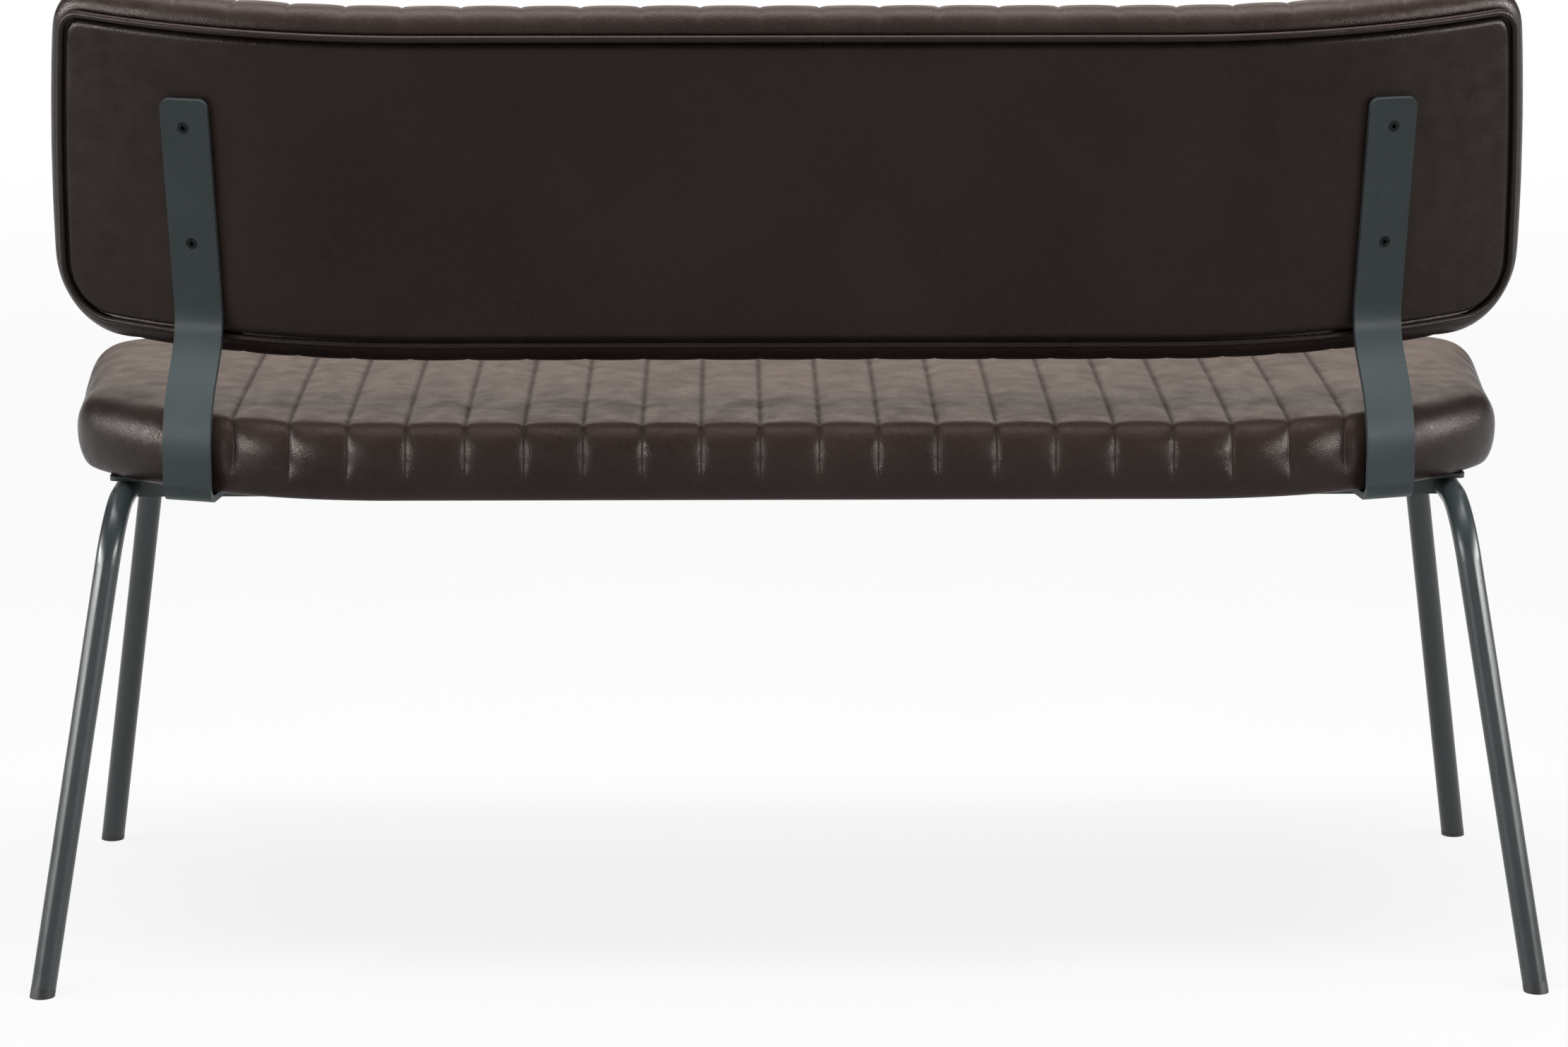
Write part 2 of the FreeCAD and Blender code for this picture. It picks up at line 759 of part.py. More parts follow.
def both_ends(name, pieces):
    """Group pieces of the +X end with their mirror images."""
    items = list(pieces)
    for piece in pieces:
        item = doc.addObject("Part::Mirroring", piece.Name + "_other")
        item.Source = piece
        item.Normal = Vector(1, 0, 0)
        item.Base = Vector(0, 0, 0)
        items.append(item)
    return group(name, items)


def nut_recess(name, place, turn, through):
    """Add the stepped hole that takes a flanged nut and its screw."""
    step = cylinder(name + "_step", "Dims.tnut_flange / 2 + Dims.head_gap",
                    "Dims.tnut_flange_thick", Placement(place, turn))
    hole = cylinder(name + "_hole", "Dims.tnut_barrel / 2 + Dims.thread_gap", through, Placement(place, turn))
    return [step, hole]


upward = Rotation()
downward = Rotation(Vector(1, 0, 0), 180)

plate_inner = frame_reach + dim("plate_overhang") - dim("plate_length")
plate_hole = plate_inner + dim("plate_hole")
plates = []
seat_bolts = []
seat_nuts = []
lining_holes = []
board_holes = []
for place, toward in (("rear", 1.0), ("front", -1.0)):
    block = doc.addObject("Part::Box", place + "_plate_block")
    block.setExpression("Length", "Dims.plate_length")
    block.setExpression("Width", "Dims.plate_width")
    block.setExpression("Height", "Dims.plate_thick")
    block.Placement = Placement(
        Vector(plate_inner, toward * dim("plate_place") - dim("plate_width") / 2.0, plate_bottom), Rotation())
    doc.recompute()
    eased = doc.addObject("Part::Fillet", place + "_plate_eased")
    eased.Base = block
    upright = []
    for number, edge in enumerate(block.Shape.Edges, start=1):
        if abs(edge.Vertexes[0].Point.z - edge.Vertexes[-1].Point.z) > dim("plate_thick") / 2.0:
            upright.append((number, dim("plate_corner"), dim("plate_corner")))
    eased.Edges = upright
    spot = Vector(plate_hole, toward * dim("plate_place"), plate_bottom)
    hole = cylinder(place + "_plate_hole", "Dims.bolt_hole / 2", "3 * Dims.plate_thick",
                    Placement(spot - Vector(0, 0, dim("plate_thick")), upward))
    plates.append(cut(place + "_plate", eased, hole))
    head_low = spot - Vector(0, 0, dim("bolt_head_height"))
    reach = "Dims.bolt_head_height + Dims.plate_thick + Dims.lining_thick + Dims.cover_lip"
    reach += " + Dims.board_thick - Dims.bolt_short"
    seat_bolts.append(screw(place + "_seat_bolt", head_low, upward, "Dims.bolt_head / 2",
                            "Dims.bolt_head_height", reach))
    nut_spot = Vector(spot.x, spot.y, board_top)
    seat_nuts.append(tnut(place + "_seat_nut", nut_spot, downward))
    board_holes += nut_recess(place + "_seat_recess", nut_spot, downward, "2 * Dims.board_thick")
    lining_holes.append(cylinder(place + "_lining_hole", "Dims.bolt_hole / 2", "4 * Dims.lining_thick",
                                 Placement(Vector(spot.x, spot.y, lining_bottom - dim("lining_thick")), upward)))

strap_bolts = []
strap_nuts = []
for count, spot in enumerate(bolt_spots, start=1):
    base = strap_world(spot.x, spot.y, spot.z)
    head_low = base - Vector(0, 0, dim("bolt_head_height"))
    reach = "Dims.bolt_head_height + Dims.strap_thick + Dims.lining_thick + Dims.cover_lip"
    reach += " + Dims.board_thick - Dims.bolt_short"
    strap_bolts.append(screw("strap_bolt_%d" % count, head_low, upward, "Dims.bolt_head / 2",
                             "Dims.bolt_head_height", reach))
    nut_spot = Vector(base.x, base.y, board_top)
    strap_nuts.append(tnut("strap_nut_%d" % count, nut_spot, downward))
    board_holes += nut_recess("strap_recess_%d" % count, nut_spot, downward, "2 * Dims.board_thick")
    lining_holes.append(cylinder("strap_lining_hole_%d" % count, "Dims.bolt_hole / 2", "4 * Dims.lining_thick",
                                 Placement(Vector(base.x, base.y, lining_bottom - dim("lining_thick")), upward)))

both_ends("mount_plates", plates)
both_ends("seat_bolts", seat_bolts)
both_ends("seat_tnuts", seat_nuts)
both_ends("strap_seat_bolts", strap_bolts)
both_ends("strap_seat_tnuts", strap_nuts)

# Screws through strap and panel into nuts at the front of the backrest board.

board_front = dim("panel_thick") + dim("back_board_thick")
back_screws = []
back_nuts = []
panel_holes = []
back_board_holes = []
for count, (spot, surface) in enumerate(zip(screw_heads, panel_spots), start=1):
    head = spot - outward * dim("head_gap")
    back_screws.append(screw(
        "back_screw_%d" % count, head, into_panel, "Dims.screw_head / 2", "Dims.screw_head_height",
        "Dims.strap_thick + Dims.panel_thick + Dims.back_board_thick - Dims.screw_short"))
    nut_spot = surface - outward * board_front
    facing = Rotation(Vector(0, 0, 1), outward)
    back_nuts.append(tnut("back_nut_%d" % count, nut_spot, facing))
    back_board_holes += nut_recess("back_recess_%d" % count, nut_spot, facing, "2 * Dims.back_board_thick")
    panel_holes.append(cylinder("panel_hole_%d" % count, "Dims.bolt_hole / 2", "3 * Dims.panel_thick",
                                Placement(surface + outward * dim("panel_thick"), into_panel)))
both_ends("strap_back_screws", back_screws)
both_ends("back_tnuts", back_nuts)


def with_mirror(name, pieces):
    """Join holes of the +X end with their mirror images."""
    whole = fuse(name, pieces)
    other = doc.addObject("Part::Mirroring", name + "_other")
    other.Source = whole
    other.Normal = Vector(1, 0, 0)
    other.Base = Vector(0, 0, 0)
    return fuse(name + "_both", [whole, other])


# Seat: board, lining and foam.


def seat_sheet(name, inset, bottom, thickness):
    """Pad the seat's outline, inset, as a flat sheet."""
    body = doc.addObject("PartDesign::Body", name + "_body")
    sketch = new_sketch(body, "XY_Plane", name + "_plan", bottom)
    ids = draw(sketch, seat_outline(dim_sum(inset)), True)
    offset = " - ".join([""] + ["Dims." + alias for alias in inset])
    bind(sketch, "Radius", ids[0], "rear_curve", "Dims.seat_arc_radius" + offset)
    bind(sketch, "Radius", ids[3], "front_corner", "Dims.seat_front_radius" + offset)
    pad(body, sketch, "Dims." + thickness, name + "_pad")
    return body


def dim_sum(aliases):
    """Add up several driving dimensions."""
    return sum(dim(alias) for alias in aliases)


board_blank = seat_sheet("seat_board", ["quilt_side", "soft_gap"], board_bottom, "board_thick")
node(cut("seat_board_holed", board_blank, with_mirror("board_holes", board_holes)), "seat_board")
lining_blank = seat_sheet("seat_lining", ["lining_inset"], lining_bottom, "lining_thick")
node(cut("seat_lining_holed", lining_blank, with_mirror("lining_holes", lining_holes)), "seat_lining")

cavity_top = seat_top - dim("seat_crown") - dim("quilt_top")
cavity_shoulder = cavity_top - dim("seat_roll") / 2.0


def seat_block(inset, bottom, top_gap):
    """Return the block inside the quilted cover, with sloped shoulders."""
    levels = [
        (inset, bottom),
        (inset, cavity_shoulder - top_gap),
        (inset + dim("seat_roll") / 2.0, cavity_top - top_gap),
    ]
    return Part.makeLoft([wire_of(seat_outline(step, level)) for step, level in levels], True, True)


node(solid_feature("seat_foam_block", seat_block(dim_sum(["quilt_side", "soft_gap"]), board_top, dim("soft_gap"))),
     "seat_foam")

# Seat cover: sewn channels along the middle, a plain rounded panel at each end.

belly_level = dim("seat_bottom") + dim("seat_belly")
edge_level = seat_top - dim("seat_crown")


def channel_swell(place):
    """Return how full a channel is, from 0 at a seam to 1 in its middle."""
    return math.sin(math.pi * place) ** 0.7


def seat_section(x, swell, trim=0.0):
    """Return the seat's profile across its depth at one place along it."""
    sunk = (1.0 - swell) * dim("seat_channel_depth")
    rear = seat_rear_at(x, 0.0) - 0.6 * sunk - trim
    front = -dim("seat_front") + 0.6 * sunk + trim
    low = dim("seat_bottom") + trim
    edge = edge_level - sunk - trim
    tuck = dim("seat_tuck")
    roll = dim("seat_roll")
    round_share = 1.0 - math.sqrt(0.5)

    def spot(y, z):
        return Vector(x, y, z)

    run = [
        (spot(front + tuck, low), spot(rear - tuck, low)),
        (spot(rear - tuck, low), spot(rear - round_share * tuck, low + round_share * (belly_level - low)),
         spot(rear, belly_level)),
        (spot(rear, belly_level), spot(rear - round_share * roll, edge - round_share * (edge - belly_level)),
         spot(rear - roll, edge)),
        (spot(rear - roll, edge), spot((rear + front) / 2.0, edge + dim("seat_crown")), spot(front + roll, edge)),
        (spot(front + roll, edge), spot(front + round_share * roll, edge - round_share * (edge - belly_level)),
         spot(front, belly_level)),
        (spot(front, belly_level), spot(front + round_share * tuck, low + round_share * (belly_level - low)),
         spot(front + tuck, low)),
    ]
    return wire_of(run)


def seam_count(half, plain_end):
    """Return how many seams fit, with a plain panel left at each end."""
    pitch = dim("channel_pitch")
    return 2 * (int((half - dim(plain_end) - pitch / 2.0) / pitch) + 1)


def seam_places(count):
    """Return where the seams lie along the length, evenly about the middle."""
    pitch = dim("channel_pitch")
    return [(index - (count - 1) / 2.0) * pitch for index in range(count)]


CHANNEL_STEPS = [0.0, 0.27, 0.73]


def channel_stations(count):
    """Return each place along the channels with how full the cover is there."""
    seams = seam_places(count)
    stations = []
    for first, second in zip(seams[:-1], seams[1:]):
        for step in CHANNEL_STEPS:
            stations.append((first + step * (second - first), channel_swell(step)))
    stations.append((seams[-1], 0.0))
    return stations


seat_stations = channel_stations(seam_count(bench_half, "seat_plain_end"))
last_seam = seat_stations[-1][0]
panel_start = last_seam + 0.3 * dim("channel_pitch")
lead = [(last_seam + 0.15 * dim("channel_pitch"), 0.8), (panel_start, 1.0)]
seat_stations = [(-x, swell) for x, swell in reversed(lead)] + seat_stations + lead
seat_middle = Part.makeLoft(
    [seat_section(x, swell, dim("end_proud") if abs(x) > last_seam else 0.0) for x, swell in seat_stations],
    True, True)


def seat_end_level(inset, level):
    """Return the plan outline of the +X end panel at one height."""
    key = seat_corners(inset)
    rear_y = seat_rear_at(last_seam, inset)
    centre = key["arc_centre"]
    start = math.atan2(last_seam - centre.x, rear_y - centre.y)
    middle = (start + rad("seat_arc_angle")) / 2.0
    on_arc = centre + Vector(math.sin(middle), math.cos(middle), 0) * key["arc_radius"]
    first = Vector(last_seam, rear_y, 0)
    last = Vector(last_seam, key["front"].y, 0)
    run = [
        (first, on_arc, key["arc_end"]),
        (key["arc_end"], key["corner_middle"], key["side_start"]),
        (key["side_start"], key["side_end"]),
        (key["side_end"], key["front_middle"], key["front"]),
        (key["front"], last),
        (last, first),
    ]
    lift = Vector(0, 0, level)
    return wire_of([tuple(point + lift for point in piece) for piece in run])


def seat_end():
    """Return the rounded end panel of the cover at +X."""
    wires = []
    for step in (90, 60, 30, 0):
        angle = math.radians(step)
        inset = dim("seat_tuck") * (1.0 - math.cos(angle))
        level = belly_level - dim("seat_belly") * math.sin(angle)
        wires.append(seat_end_level(inset, level))
    for step in (25, 50, 70, 90):
        angle = math.radians(step)
        inset = dim("seat_roll") * (1.0 - math.cos(angle))
        level = belly_level + (edge_level - belly_level) * math.sin(angle)
        wires.append(seat_end_level(inset, level))
    panel = Part.makeLoft(wires, True, False)
    depth = dim("seat_rear") + dim("seat_front")
    inner = Part.makeBox(dim("channel_pitch"), 2.0 * depth, 2.0 * seat_top)
    inner.translate(Vector(panel_start - dim("channel_pitch"), -depth, 0))
    return panel.cut(inner).Solids[0]


left_end = seat_end()
right_end = left_end.mirror(Vector(0, 0, 0), Vector(1, 0, 0))
seat_form = seat_middle.fuse([left_end, right_end])
seat_hollow = seat_block(dim("quilt_side"), board_bottom, 0.0)
seat_mouth = Part.Face(wire_of(seat_outline(dim("lip_reach"), dim("seat_bottom") - dim("cover_lip"))))
seat_mouth = seat_mouth.extrude(Vector(0, 0, 2.5 * dim("cover_lip")))
node(solid_feature("seat_cover_form", seat_form.cut([seat_hollow, seat_mouth])), "seat_cover")

# Backrest: panel, board and foam as curved sheets, then cover and piping.

panel_blank = curved_sheet("back_panel", (0.0, dim("panel_thick")), dim("panel_inset"), "Dims.panel_thick")
node(cut("back_panel_holed", panel_blank, with_mirror("panel_holes", panel_holes)), "back_panel")

board_near = dim("panel_thick")
back_board_blank = curved_sheet("back_board", (board_near, board_front), dim("back_board_inset"),
                                "Dims.back_board_thick")
node(cut("back_board_holed", back_board_blank, with_mirror("back_board_holes", back_board_holes)), "back_board")

foam_far = board_front + dim("back_foam_thick")
foam_blank = curved_sheet("back_foam", (board_front, foam_far), dim("back_foam_inset"), "Dims.back_foam_thick")
node(foam_blank, "back_foam")


def back_section(along, swell, near_end):
    """Return the closed profile of the backrest cover at one place."""
    low_corner = dim("back_corner_low")
    top_corner = dim("back_corner_top")
    sunk = (1.0 - swell) * dim("back_channel_depth")
    rear = dim("panel_proud")
    front = dim("back_thick") - dim("back_crown") - sunk
    middle = (dim("panel_proud") + dim("back_thick")) / 2.0
    roll_end = (dim("back_thick") - dim("panel_proud")) / 2.0
    low = 0.0
    top = dim("back_height") - 0.3 * sunk
    if near_end < low_corner:
        low = low_corner - math.sqrt(low_corner ** 2 - (low_corner - near_end) ** 2)
    if near_end < top_corner:
        top -= top_corner - math.sqrt(top_corner ** 2 - (top_corner - near_end) ** 2)
    if near_end < roll_end:
        share = 0.4 + 0.6 * math.sqrt(1.0 - (1.0 - near_end / roll_end) ** 2)
        rear = middle - (middle - rear) * share
        front = middle + (front - middle) * share
    roll = min(20.0, 0.3 * (top - low))
    crown = dim("back_crown")
    crest = rear + 0.42 * (front - rear)
    share = 1.0 - math.sqrt(0.5)

    def spot(depth, height):
        return back_point(along, depth, height)

    run = [
        (spot(rear, low + roll), spot(rear, top - roll)),
        (spot(rear, top - roll), spot(rear + share * (crest - rear), top - share * roll), spot(crest, top)),
        (spot(crest, top), spot(front - share * (front - crest), top - share * roll), spot(front, top - roll)),
        (spot(front, top - roll), spot(front + crown, (low + top) / 2.0), spot(front, low + roll)),
        (spot(front, low + roll), spot(front - share * (front - crest), low + share * roll), spot(crest, low)),
        (spot(crest, low), spot(rear + share * (crest - rear), low + share * roll), spot(rear, low + roll)),
    ]
    return wire_of(run)


back_stations = channel_stations(seam_count(back_half, "back_plain_end"))
back_last = back_stations[-1][0]
end_length = back_half - back_last
END_STEPS = [(0.12, 0.7), (0.35, 1.0), (0.6, 1.0), (0.78, 1.0), (0.9, 1.0), (0.97, 1.0), (1.0, 1.0)]
back_lead = [(back_last + share * end_length, swell) for share, swell in END_STEPS]
back_stations = [(-x, swell) for x, swell in reversed(back_lead)] + back_stations + back_lead
back_form = Part.makeLoft(
    [back_section(along, swell, back_half - abs(along)) for along, swell in back_stations], True, True)


def curved_block(near, far, inset):
    """Return a curved sheet of the backrest as a plain shape."""
    plan = Part.Face(wire_of(back_strip(near, far))).extrude(Vector(0, 0, dim("back_height")))
    face = Part.Face(wire_of(back_front(inset, far))).extrude(Vector(0, 0, 2.0 * dim("back_arc_radius")))
    face.rotate(Vector(0, 0, 0), Vector(1, 0, 0), 90)
    face.translate(Vector(0, dim("back_arc_radius"), 0))
    return plan.common(face)


board_hollow = curved_block(board_near, board_front + dim("soft_gap"), dim("back_board_inset") - dim("soft_gap"))
foam_hollow = curved_block(board_front, foam_far + dim("soft_gap"), dim("back_foam_inset") - dim("soft_gap"))
back_mouth = curved_block(-dim("panel_thick"), board_near + dim("soft_gap"), dim("panel_inset") - dim("soft_gap"))
back_cover = solid_feature("back_cover_form", back_form.cut([board_hollow, foam_hollow, back_mouth]))
back_cover.Placement = back_placement
node(back_cover, "back_cover")


def piping_stations():
    """Return the welt's middle line round one half of the rear panel, seen from the front."""
    radius = dim("piping_diameter") / 2.0
    outline = back_front(dim("panel_inset") - radius - dim("soft_gap"), dim("panel_thick"))
    low_arc = outline[2]
    top_arc = outline[4]
    flat = back_flat
    stations = [Vector(0, low_arc[0].y, 0)]
    curve_steps = 4
    for step in range(curve_steps):
        stations.append(Vector(flat + (low_arc[0].x - flat) * step / curve_steps, low_arc[0].y, 0))
    for arc in (low_arc, top_arc):
        stations += edge_of(arc).discretize(5)
    for step in range(1, curve_steps + 1):
        stations.append(Vector(top_arc[2].x + (flat - top_arc[2].x) * step / curve_steps, top_arc[2].y, 0))
    stations.append(Vector(0, top_arc[2].y, 0))
    return stations


def piping_place(spot):
    """Return the point of the welt's middle line behind a point of the front view."""
    depth = dim("panel_proud") - dim("piping_diameter") / 2.0 - dim("soft_gap")
    radius = dim("back_arc_radius") - depth
    turn = math.asin(max(0.0, spot.x - back_flat) / radius)
    return Vector(spot.x, radius * math.cos(turn) - dim("back_arc_radius"), spot.y), turn


def piping_ring(place, turn, along):
    """Return the welt's round section at one place, in four arcs."""
    radius = dim("piping_diameter") / 2.0
    first = Vector(math.sin(turn), math.cos(turn), 0)
    second = along.cross(first).normalize()
    first = second.cross(along).normalize()
    spots = []
    for step in range(9):
        angle = math.pi * step / 4.0
        spots.append(place + first * (radius * math.cos(angle)) + second * (radius * math.sin(angle)))
    return wire_of([(spots[index], spots[index + 1], spots[index + 2]) for index in (0, 2, 4, 6)])


def piping_half():
    """Return one half of the welt."""
    places = [piping_place(spot) for spot in piping_stations()]
    rings = []
    for index, (place, turn) in enumerate(places):
        along = places[min(index + 1, len(places) - 1)][0] - places[max(index - 1, 0)][0]
        rings.append(piping_ring(place, turn, along.normalize()))
    return Part.makeLoft(rings, True, True)


right_piping = piping_half()
left_piping = right_piping.mirror(Vector(0, 0, 0), Vector(1, 0, 0))
piping_shape = right_piping.fuse(left_piping)
back_piping = solid_feature("back_piping_form", piping_shape)
back_piping.Placement = back_placement
node(back_piping, "back_piping")

# Check everything, then write one file for each piece.

doc.recompute()
for obj in doc.Objects:
    if "Invalid" in obj.State or "Error" in obj.State:
        raise RuntimeError("object failed: %s" % obj.Name)
for name, obj in nodes:
    shape = obj.Shape
    if shape.isNull() or not shape.isValid() or not shape.Solids:
        raise RuntimeError("bad shape: %s" % name)
    if min(solid.Volume for solid in shape.Solids) <= 0.0:
        raise RuntimeError("solid without volume: %s" % name)
for name, obj in nodes:
    obj.Shape.exportStep("parts/%s.step" % name)
    box = obj.Shape.BoundBox
    print("%-20s solids %d volume %.0f  x %.1f %.1f y %.1f %.1f z %.1f %.1f" % (
        name, len(obj.Shape.Solids), obj.Shape.Volume,
        box.XMin, box.XMax, box.YMin, box.YMax, box.ZMin, box.ZMax))
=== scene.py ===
import math

import bpy
from mathutils import Euler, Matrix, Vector, noise


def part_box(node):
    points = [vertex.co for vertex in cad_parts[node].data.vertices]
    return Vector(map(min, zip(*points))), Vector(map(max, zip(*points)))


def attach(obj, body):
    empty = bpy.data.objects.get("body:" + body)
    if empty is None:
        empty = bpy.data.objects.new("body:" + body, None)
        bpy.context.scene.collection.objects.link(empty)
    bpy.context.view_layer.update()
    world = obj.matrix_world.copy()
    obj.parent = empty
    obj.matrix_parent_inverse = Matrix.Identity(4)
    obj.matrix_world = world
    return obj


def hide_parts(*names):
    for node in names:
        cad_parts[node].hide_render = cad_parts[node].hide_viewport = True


bl_info = {
    "name": "Upholstered Dining Bench",
    "version": (1, 0, 0),
    "blender": (4, 5, 0),
    "location": "View3D > Sidebar > Bench",
    "description": "Dresses the CAD frame of a channel-quilted dining bench with padding and finishes",
    "category": "Object",
}

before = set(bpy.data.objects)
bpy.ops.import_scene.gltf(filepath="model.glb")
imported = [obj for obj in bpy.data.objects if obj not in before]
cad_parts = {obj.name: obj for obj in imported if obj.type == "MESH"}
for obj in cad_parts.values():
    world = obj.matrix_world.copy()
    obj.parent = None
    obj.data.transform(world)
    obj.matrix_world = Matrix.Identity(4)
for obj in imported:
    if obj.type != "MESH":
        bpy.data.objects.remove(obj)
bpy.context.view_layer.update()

# Places of the mesh columns in one channel, as shares of it: they crowd towards the seams.
CHANNEL_STEPS = (0.0, 0.028, 0.075, 0.16, 0.32, 0.5, 0.68, 0.84, 0.925, 0.972)
# Straight runs in the arcs of the outlines.
LONG_ARC = 12
MIDDLE_ARC = 10
SHORT_ARC = 8
SMALL_ARC = 6
# Where the seat's rear corner is split between its rear and its side.
CORNER_SPLIT = 0.3
# Rings of the padded edges, and columns and rows of the pieces without seams.
FRONT_RINGS = 9
REAR_RINGS = 8
PANEL_RINGS = 6
PANEL_COLUMNS = 92
LINING_COLUMNS = 42
LINING_ROWS = 16
WELT_FINENESS = 3
WELT_ROUNDNESS = 4
# How flat the crown of a cushion stays towards its ends.
CROWN_POWER = 8
# Room between the covers and the boards inside them.
CLEARANCE = 0.0004
# Share of the lip's thickness that the cover keeps, so that it clears the board.
LIP_SHARE = 0.9
# Share of a crease and of the painted crease shade (a dark line painted along each seam) that is left on
# the rolled edges, and how fast the painted shade comes up where the sewing begins to hold.
ROLL_CREASE = 0.35
ROLL_CREASE_SHADE = 0.2
CREASE_SHADE_GAIN = 1.5
# Gathers beside the seams: how far they reach, where they begin, their slant and their shift.
PUCKER_REACH = 0.009
PUCKER_START = 0.002
PUCKER_SLANT = 0.4
PUCKER_SHIFT = 2.1
PUCKER_CELLS = 40.0
# Slow unevenness of the whole cover.
UNEVEN_DEPTH = 0.0005
UNEVEN_CELLS = 14.0
# Half width of the strip of cover that a seam holds in the simulation.
SEAM_HOLD = 0.002
# Settings of the cloth simulation: a firm leather with little stretch.
CLOTH = {
    "quality": 4,
    "mass": 0.3,
    "tension_stiffness": 25,
    "compression_stiffness": 25,
    "shear_stiffness": 12,
    "bending_stiffness": 0.8,
}
EVEN_PASSES = 4
# Gloss of the finishes, as specular levels.
COVER_GLOSS = 0.17
PANEL_GLOSS = 0.14
FRAME_GLOSS = 0.5
STRAP_GLOSS = 0.05
# The lamps: place, point aimed at, size, watts, colour, and whether they light, shine or both.
WHITE = (1.0, 1.0, 1.0)
WARM = (1.0, 0.84, 0.72)
LAMPS = {
    "overhead": ((0.0, -0.15, 3.0), (0, -0.05, 0.4), (3.4, 1.4), 92, WHITE, "both"),
    "far": ((0.0, -4.2, 1.7), (0, 0, 0.45), (5.5, 1.7), 29, WARM, "both"),
    "fill": ((0.0, 0.72, 3.2), (0, 0.2, 0.5), (3.4, 0.7), 120, WHITE, "light"),
    "left": ((3.3, 1.0, 1.2), (0.4, 0.1, 0.45), (3.6, 0.3), 180, WHITE, "shine"),
    "right": ((-3.3, 1.0, 1.2), (-0.4, 0.1, 0.45), (3.6, 0.3), 180, WHITE, "shine"),
    "strip": ((0.0, 4.4, 1.15), (0, 0, 0.45), (4.2, 0.25), 11, WHITE, "shine"),
    "upper": ((0.0, -2.9, 3.1), (0, 0, 0.45), (5.2, 2.2), 26, WHITE, "shine"),
}


def length(name, text, value):
    """A length property in metres."""
    return bpy.props.FloatProperty(
        name=name, description=text, default=value, unit="LENGTH", precision=4)


def angle(name, text, degrees):
    """An angle property, given in degrees."""
    return bpy.props.FloatProperty(
        name=name, description=text, default=math.radians(degrees), unit="ROTATION")


def count(name, text, value):
    """A whole-number property."""
    return bpy.props.IntProperty(name=name, description=text, default=value, min=1)


def share(name, text, value):
    """A property without a unit."""
    return bpy.props.FloatProperty(name=name, description=text, default=value)


def colour(name, text, value):
    """A linear RGB colour property."""
    return bpy.props.FloatVectorProperty(
        name=name, description=text, default=value, subtype="COLOR", size=3)


class SeatSizes(bpy.types.PropertyGroup):
    """Sizes of the seat cushion, with X along the bench and -Y to the front."""

    rear: length("Rear edge", "Distance from the middle to the straight rear edge", 0.211)
    front: length("Front edge", "Distance from the middle to the front edge", 0.250)
    flat: length("Straight half", "Half length of the straight rear edge", 0.336)
    arc_radius: length("Rear arc", "Radius of the swept rear edge", 0.337)
    arc_angle: angle("Arc angle", "Turn of the swept rear edge", 54)
    corner_radius: length("Rear corner", "Radius of the rear corners", 0.084)
    splay: angle("Splay", "Turn of the ends from square", 4)
    front_radius: length("Front corner", "Radius of the front corners", 0.068)
    belly: length("Belly height", "Height of the widest contour over the underside", 0.033)
    roll: length("Roll", "Inset of the top edge from the widest contour", 0.024)
    tuck: length("Tuck", "Inset of the underside from the widest contour", 0.0105)
    edge: length("Edge height", "Height of the top edge over the underside", 0.066)
    crown: length("Crown", "Rise of the middle over the top edge", 0.003)
    lip: length("Lip", "Reach of the cover under the board", 0.040)
    lip_thick: length("Lip thickness", "Thickness of the cover under the board", 0.002)
    seams: count("Seams", "Number of sewn seams from end to end", 22)
    rows: count("Rows", "Mesh rows from rear to front", 28)
    end_columns: count("End columns", "Mesh columns in each plain end panel", 9)


class BackSizes(bpy.types.PropertyGroup):
    """Sizes of the backrest, measured along its bend, up its face and forward from its rear."""

    set_back: length("Set back", "Distance of the lower rear edge behind the middle", 0.141)
    bottom: length("Bottom", "Height of the lower rear edge over the floor", 0.5245)
    height: length("Height", "Length of the backrest up its face", 0.3145)
    lean: angle("Lean", "Lean of the backrest from upright", 11)
    flat: length("Straight half", "Half length of the straight middle", 0.311)
    bend: length("Bend", "Radius of the wrapped ends", 0.620)
    half_low: length("Half length, bottom", "Half length along the lower edge", 0.663)
    half_top: length("Half length, top", "Half length along the upper edge", 0.649)
    bow: length("Bow", "Outward bow of each end", 0.0075)
    corner_low: length("Lower corner", "Radius of the lower corners", 0.064)
    corner_top: length("Upper corner", "Radius of the upper corners", 0.040)
    front: length("Front depth", "Depth of the front face at its edge", 0.054)
    crest: length("Crest depth", "Depth of the outermost contour", 0.024)
    flange: length("Flange depth", "Depth of the cover where it meets the welt", 0.005)
    roll: length("Front roll", "Inset of the front face from the contour", 0.022)
    tuck: length("Rear roll", "Inset of the welt line from the contour", 0.0195)
    crown: length("Crown", "Rise of the front face in the middle", 0.004)
    panel_inset: length("Panel inset", "Inset of the rear panel from the contour", 0.0240)
    panel_thick: length("Panel thickness", "Thickness of the rear panel", 0.0088)
    panel_edge: length("Panel edge", "Radius of the rear panel's padded edge", 0.0075)
    piping: length("Welt diameter", "Diameter of the welt cord", 0.006)
    piping_depth: length("Welt depth", "Depth of the welt's middle", 0.0017)
    piping_inset: length("Welt inset", "Inset of the welt's middle from the contour", 0.0207)
    board_inset: length("Board inset", "Inset of the board in the backrest", 0.0125)
    board_front: length("Board front", "Depth of the board's front face", 0.0213)
    seams: count("Seams", "Number of sewn seams from end to end", 24)
    rows: count("Rows", "Mesh rows from top to bottom", 26)
    end_columns: count("End columns", "Mesh columns in each plain end panel", 7)


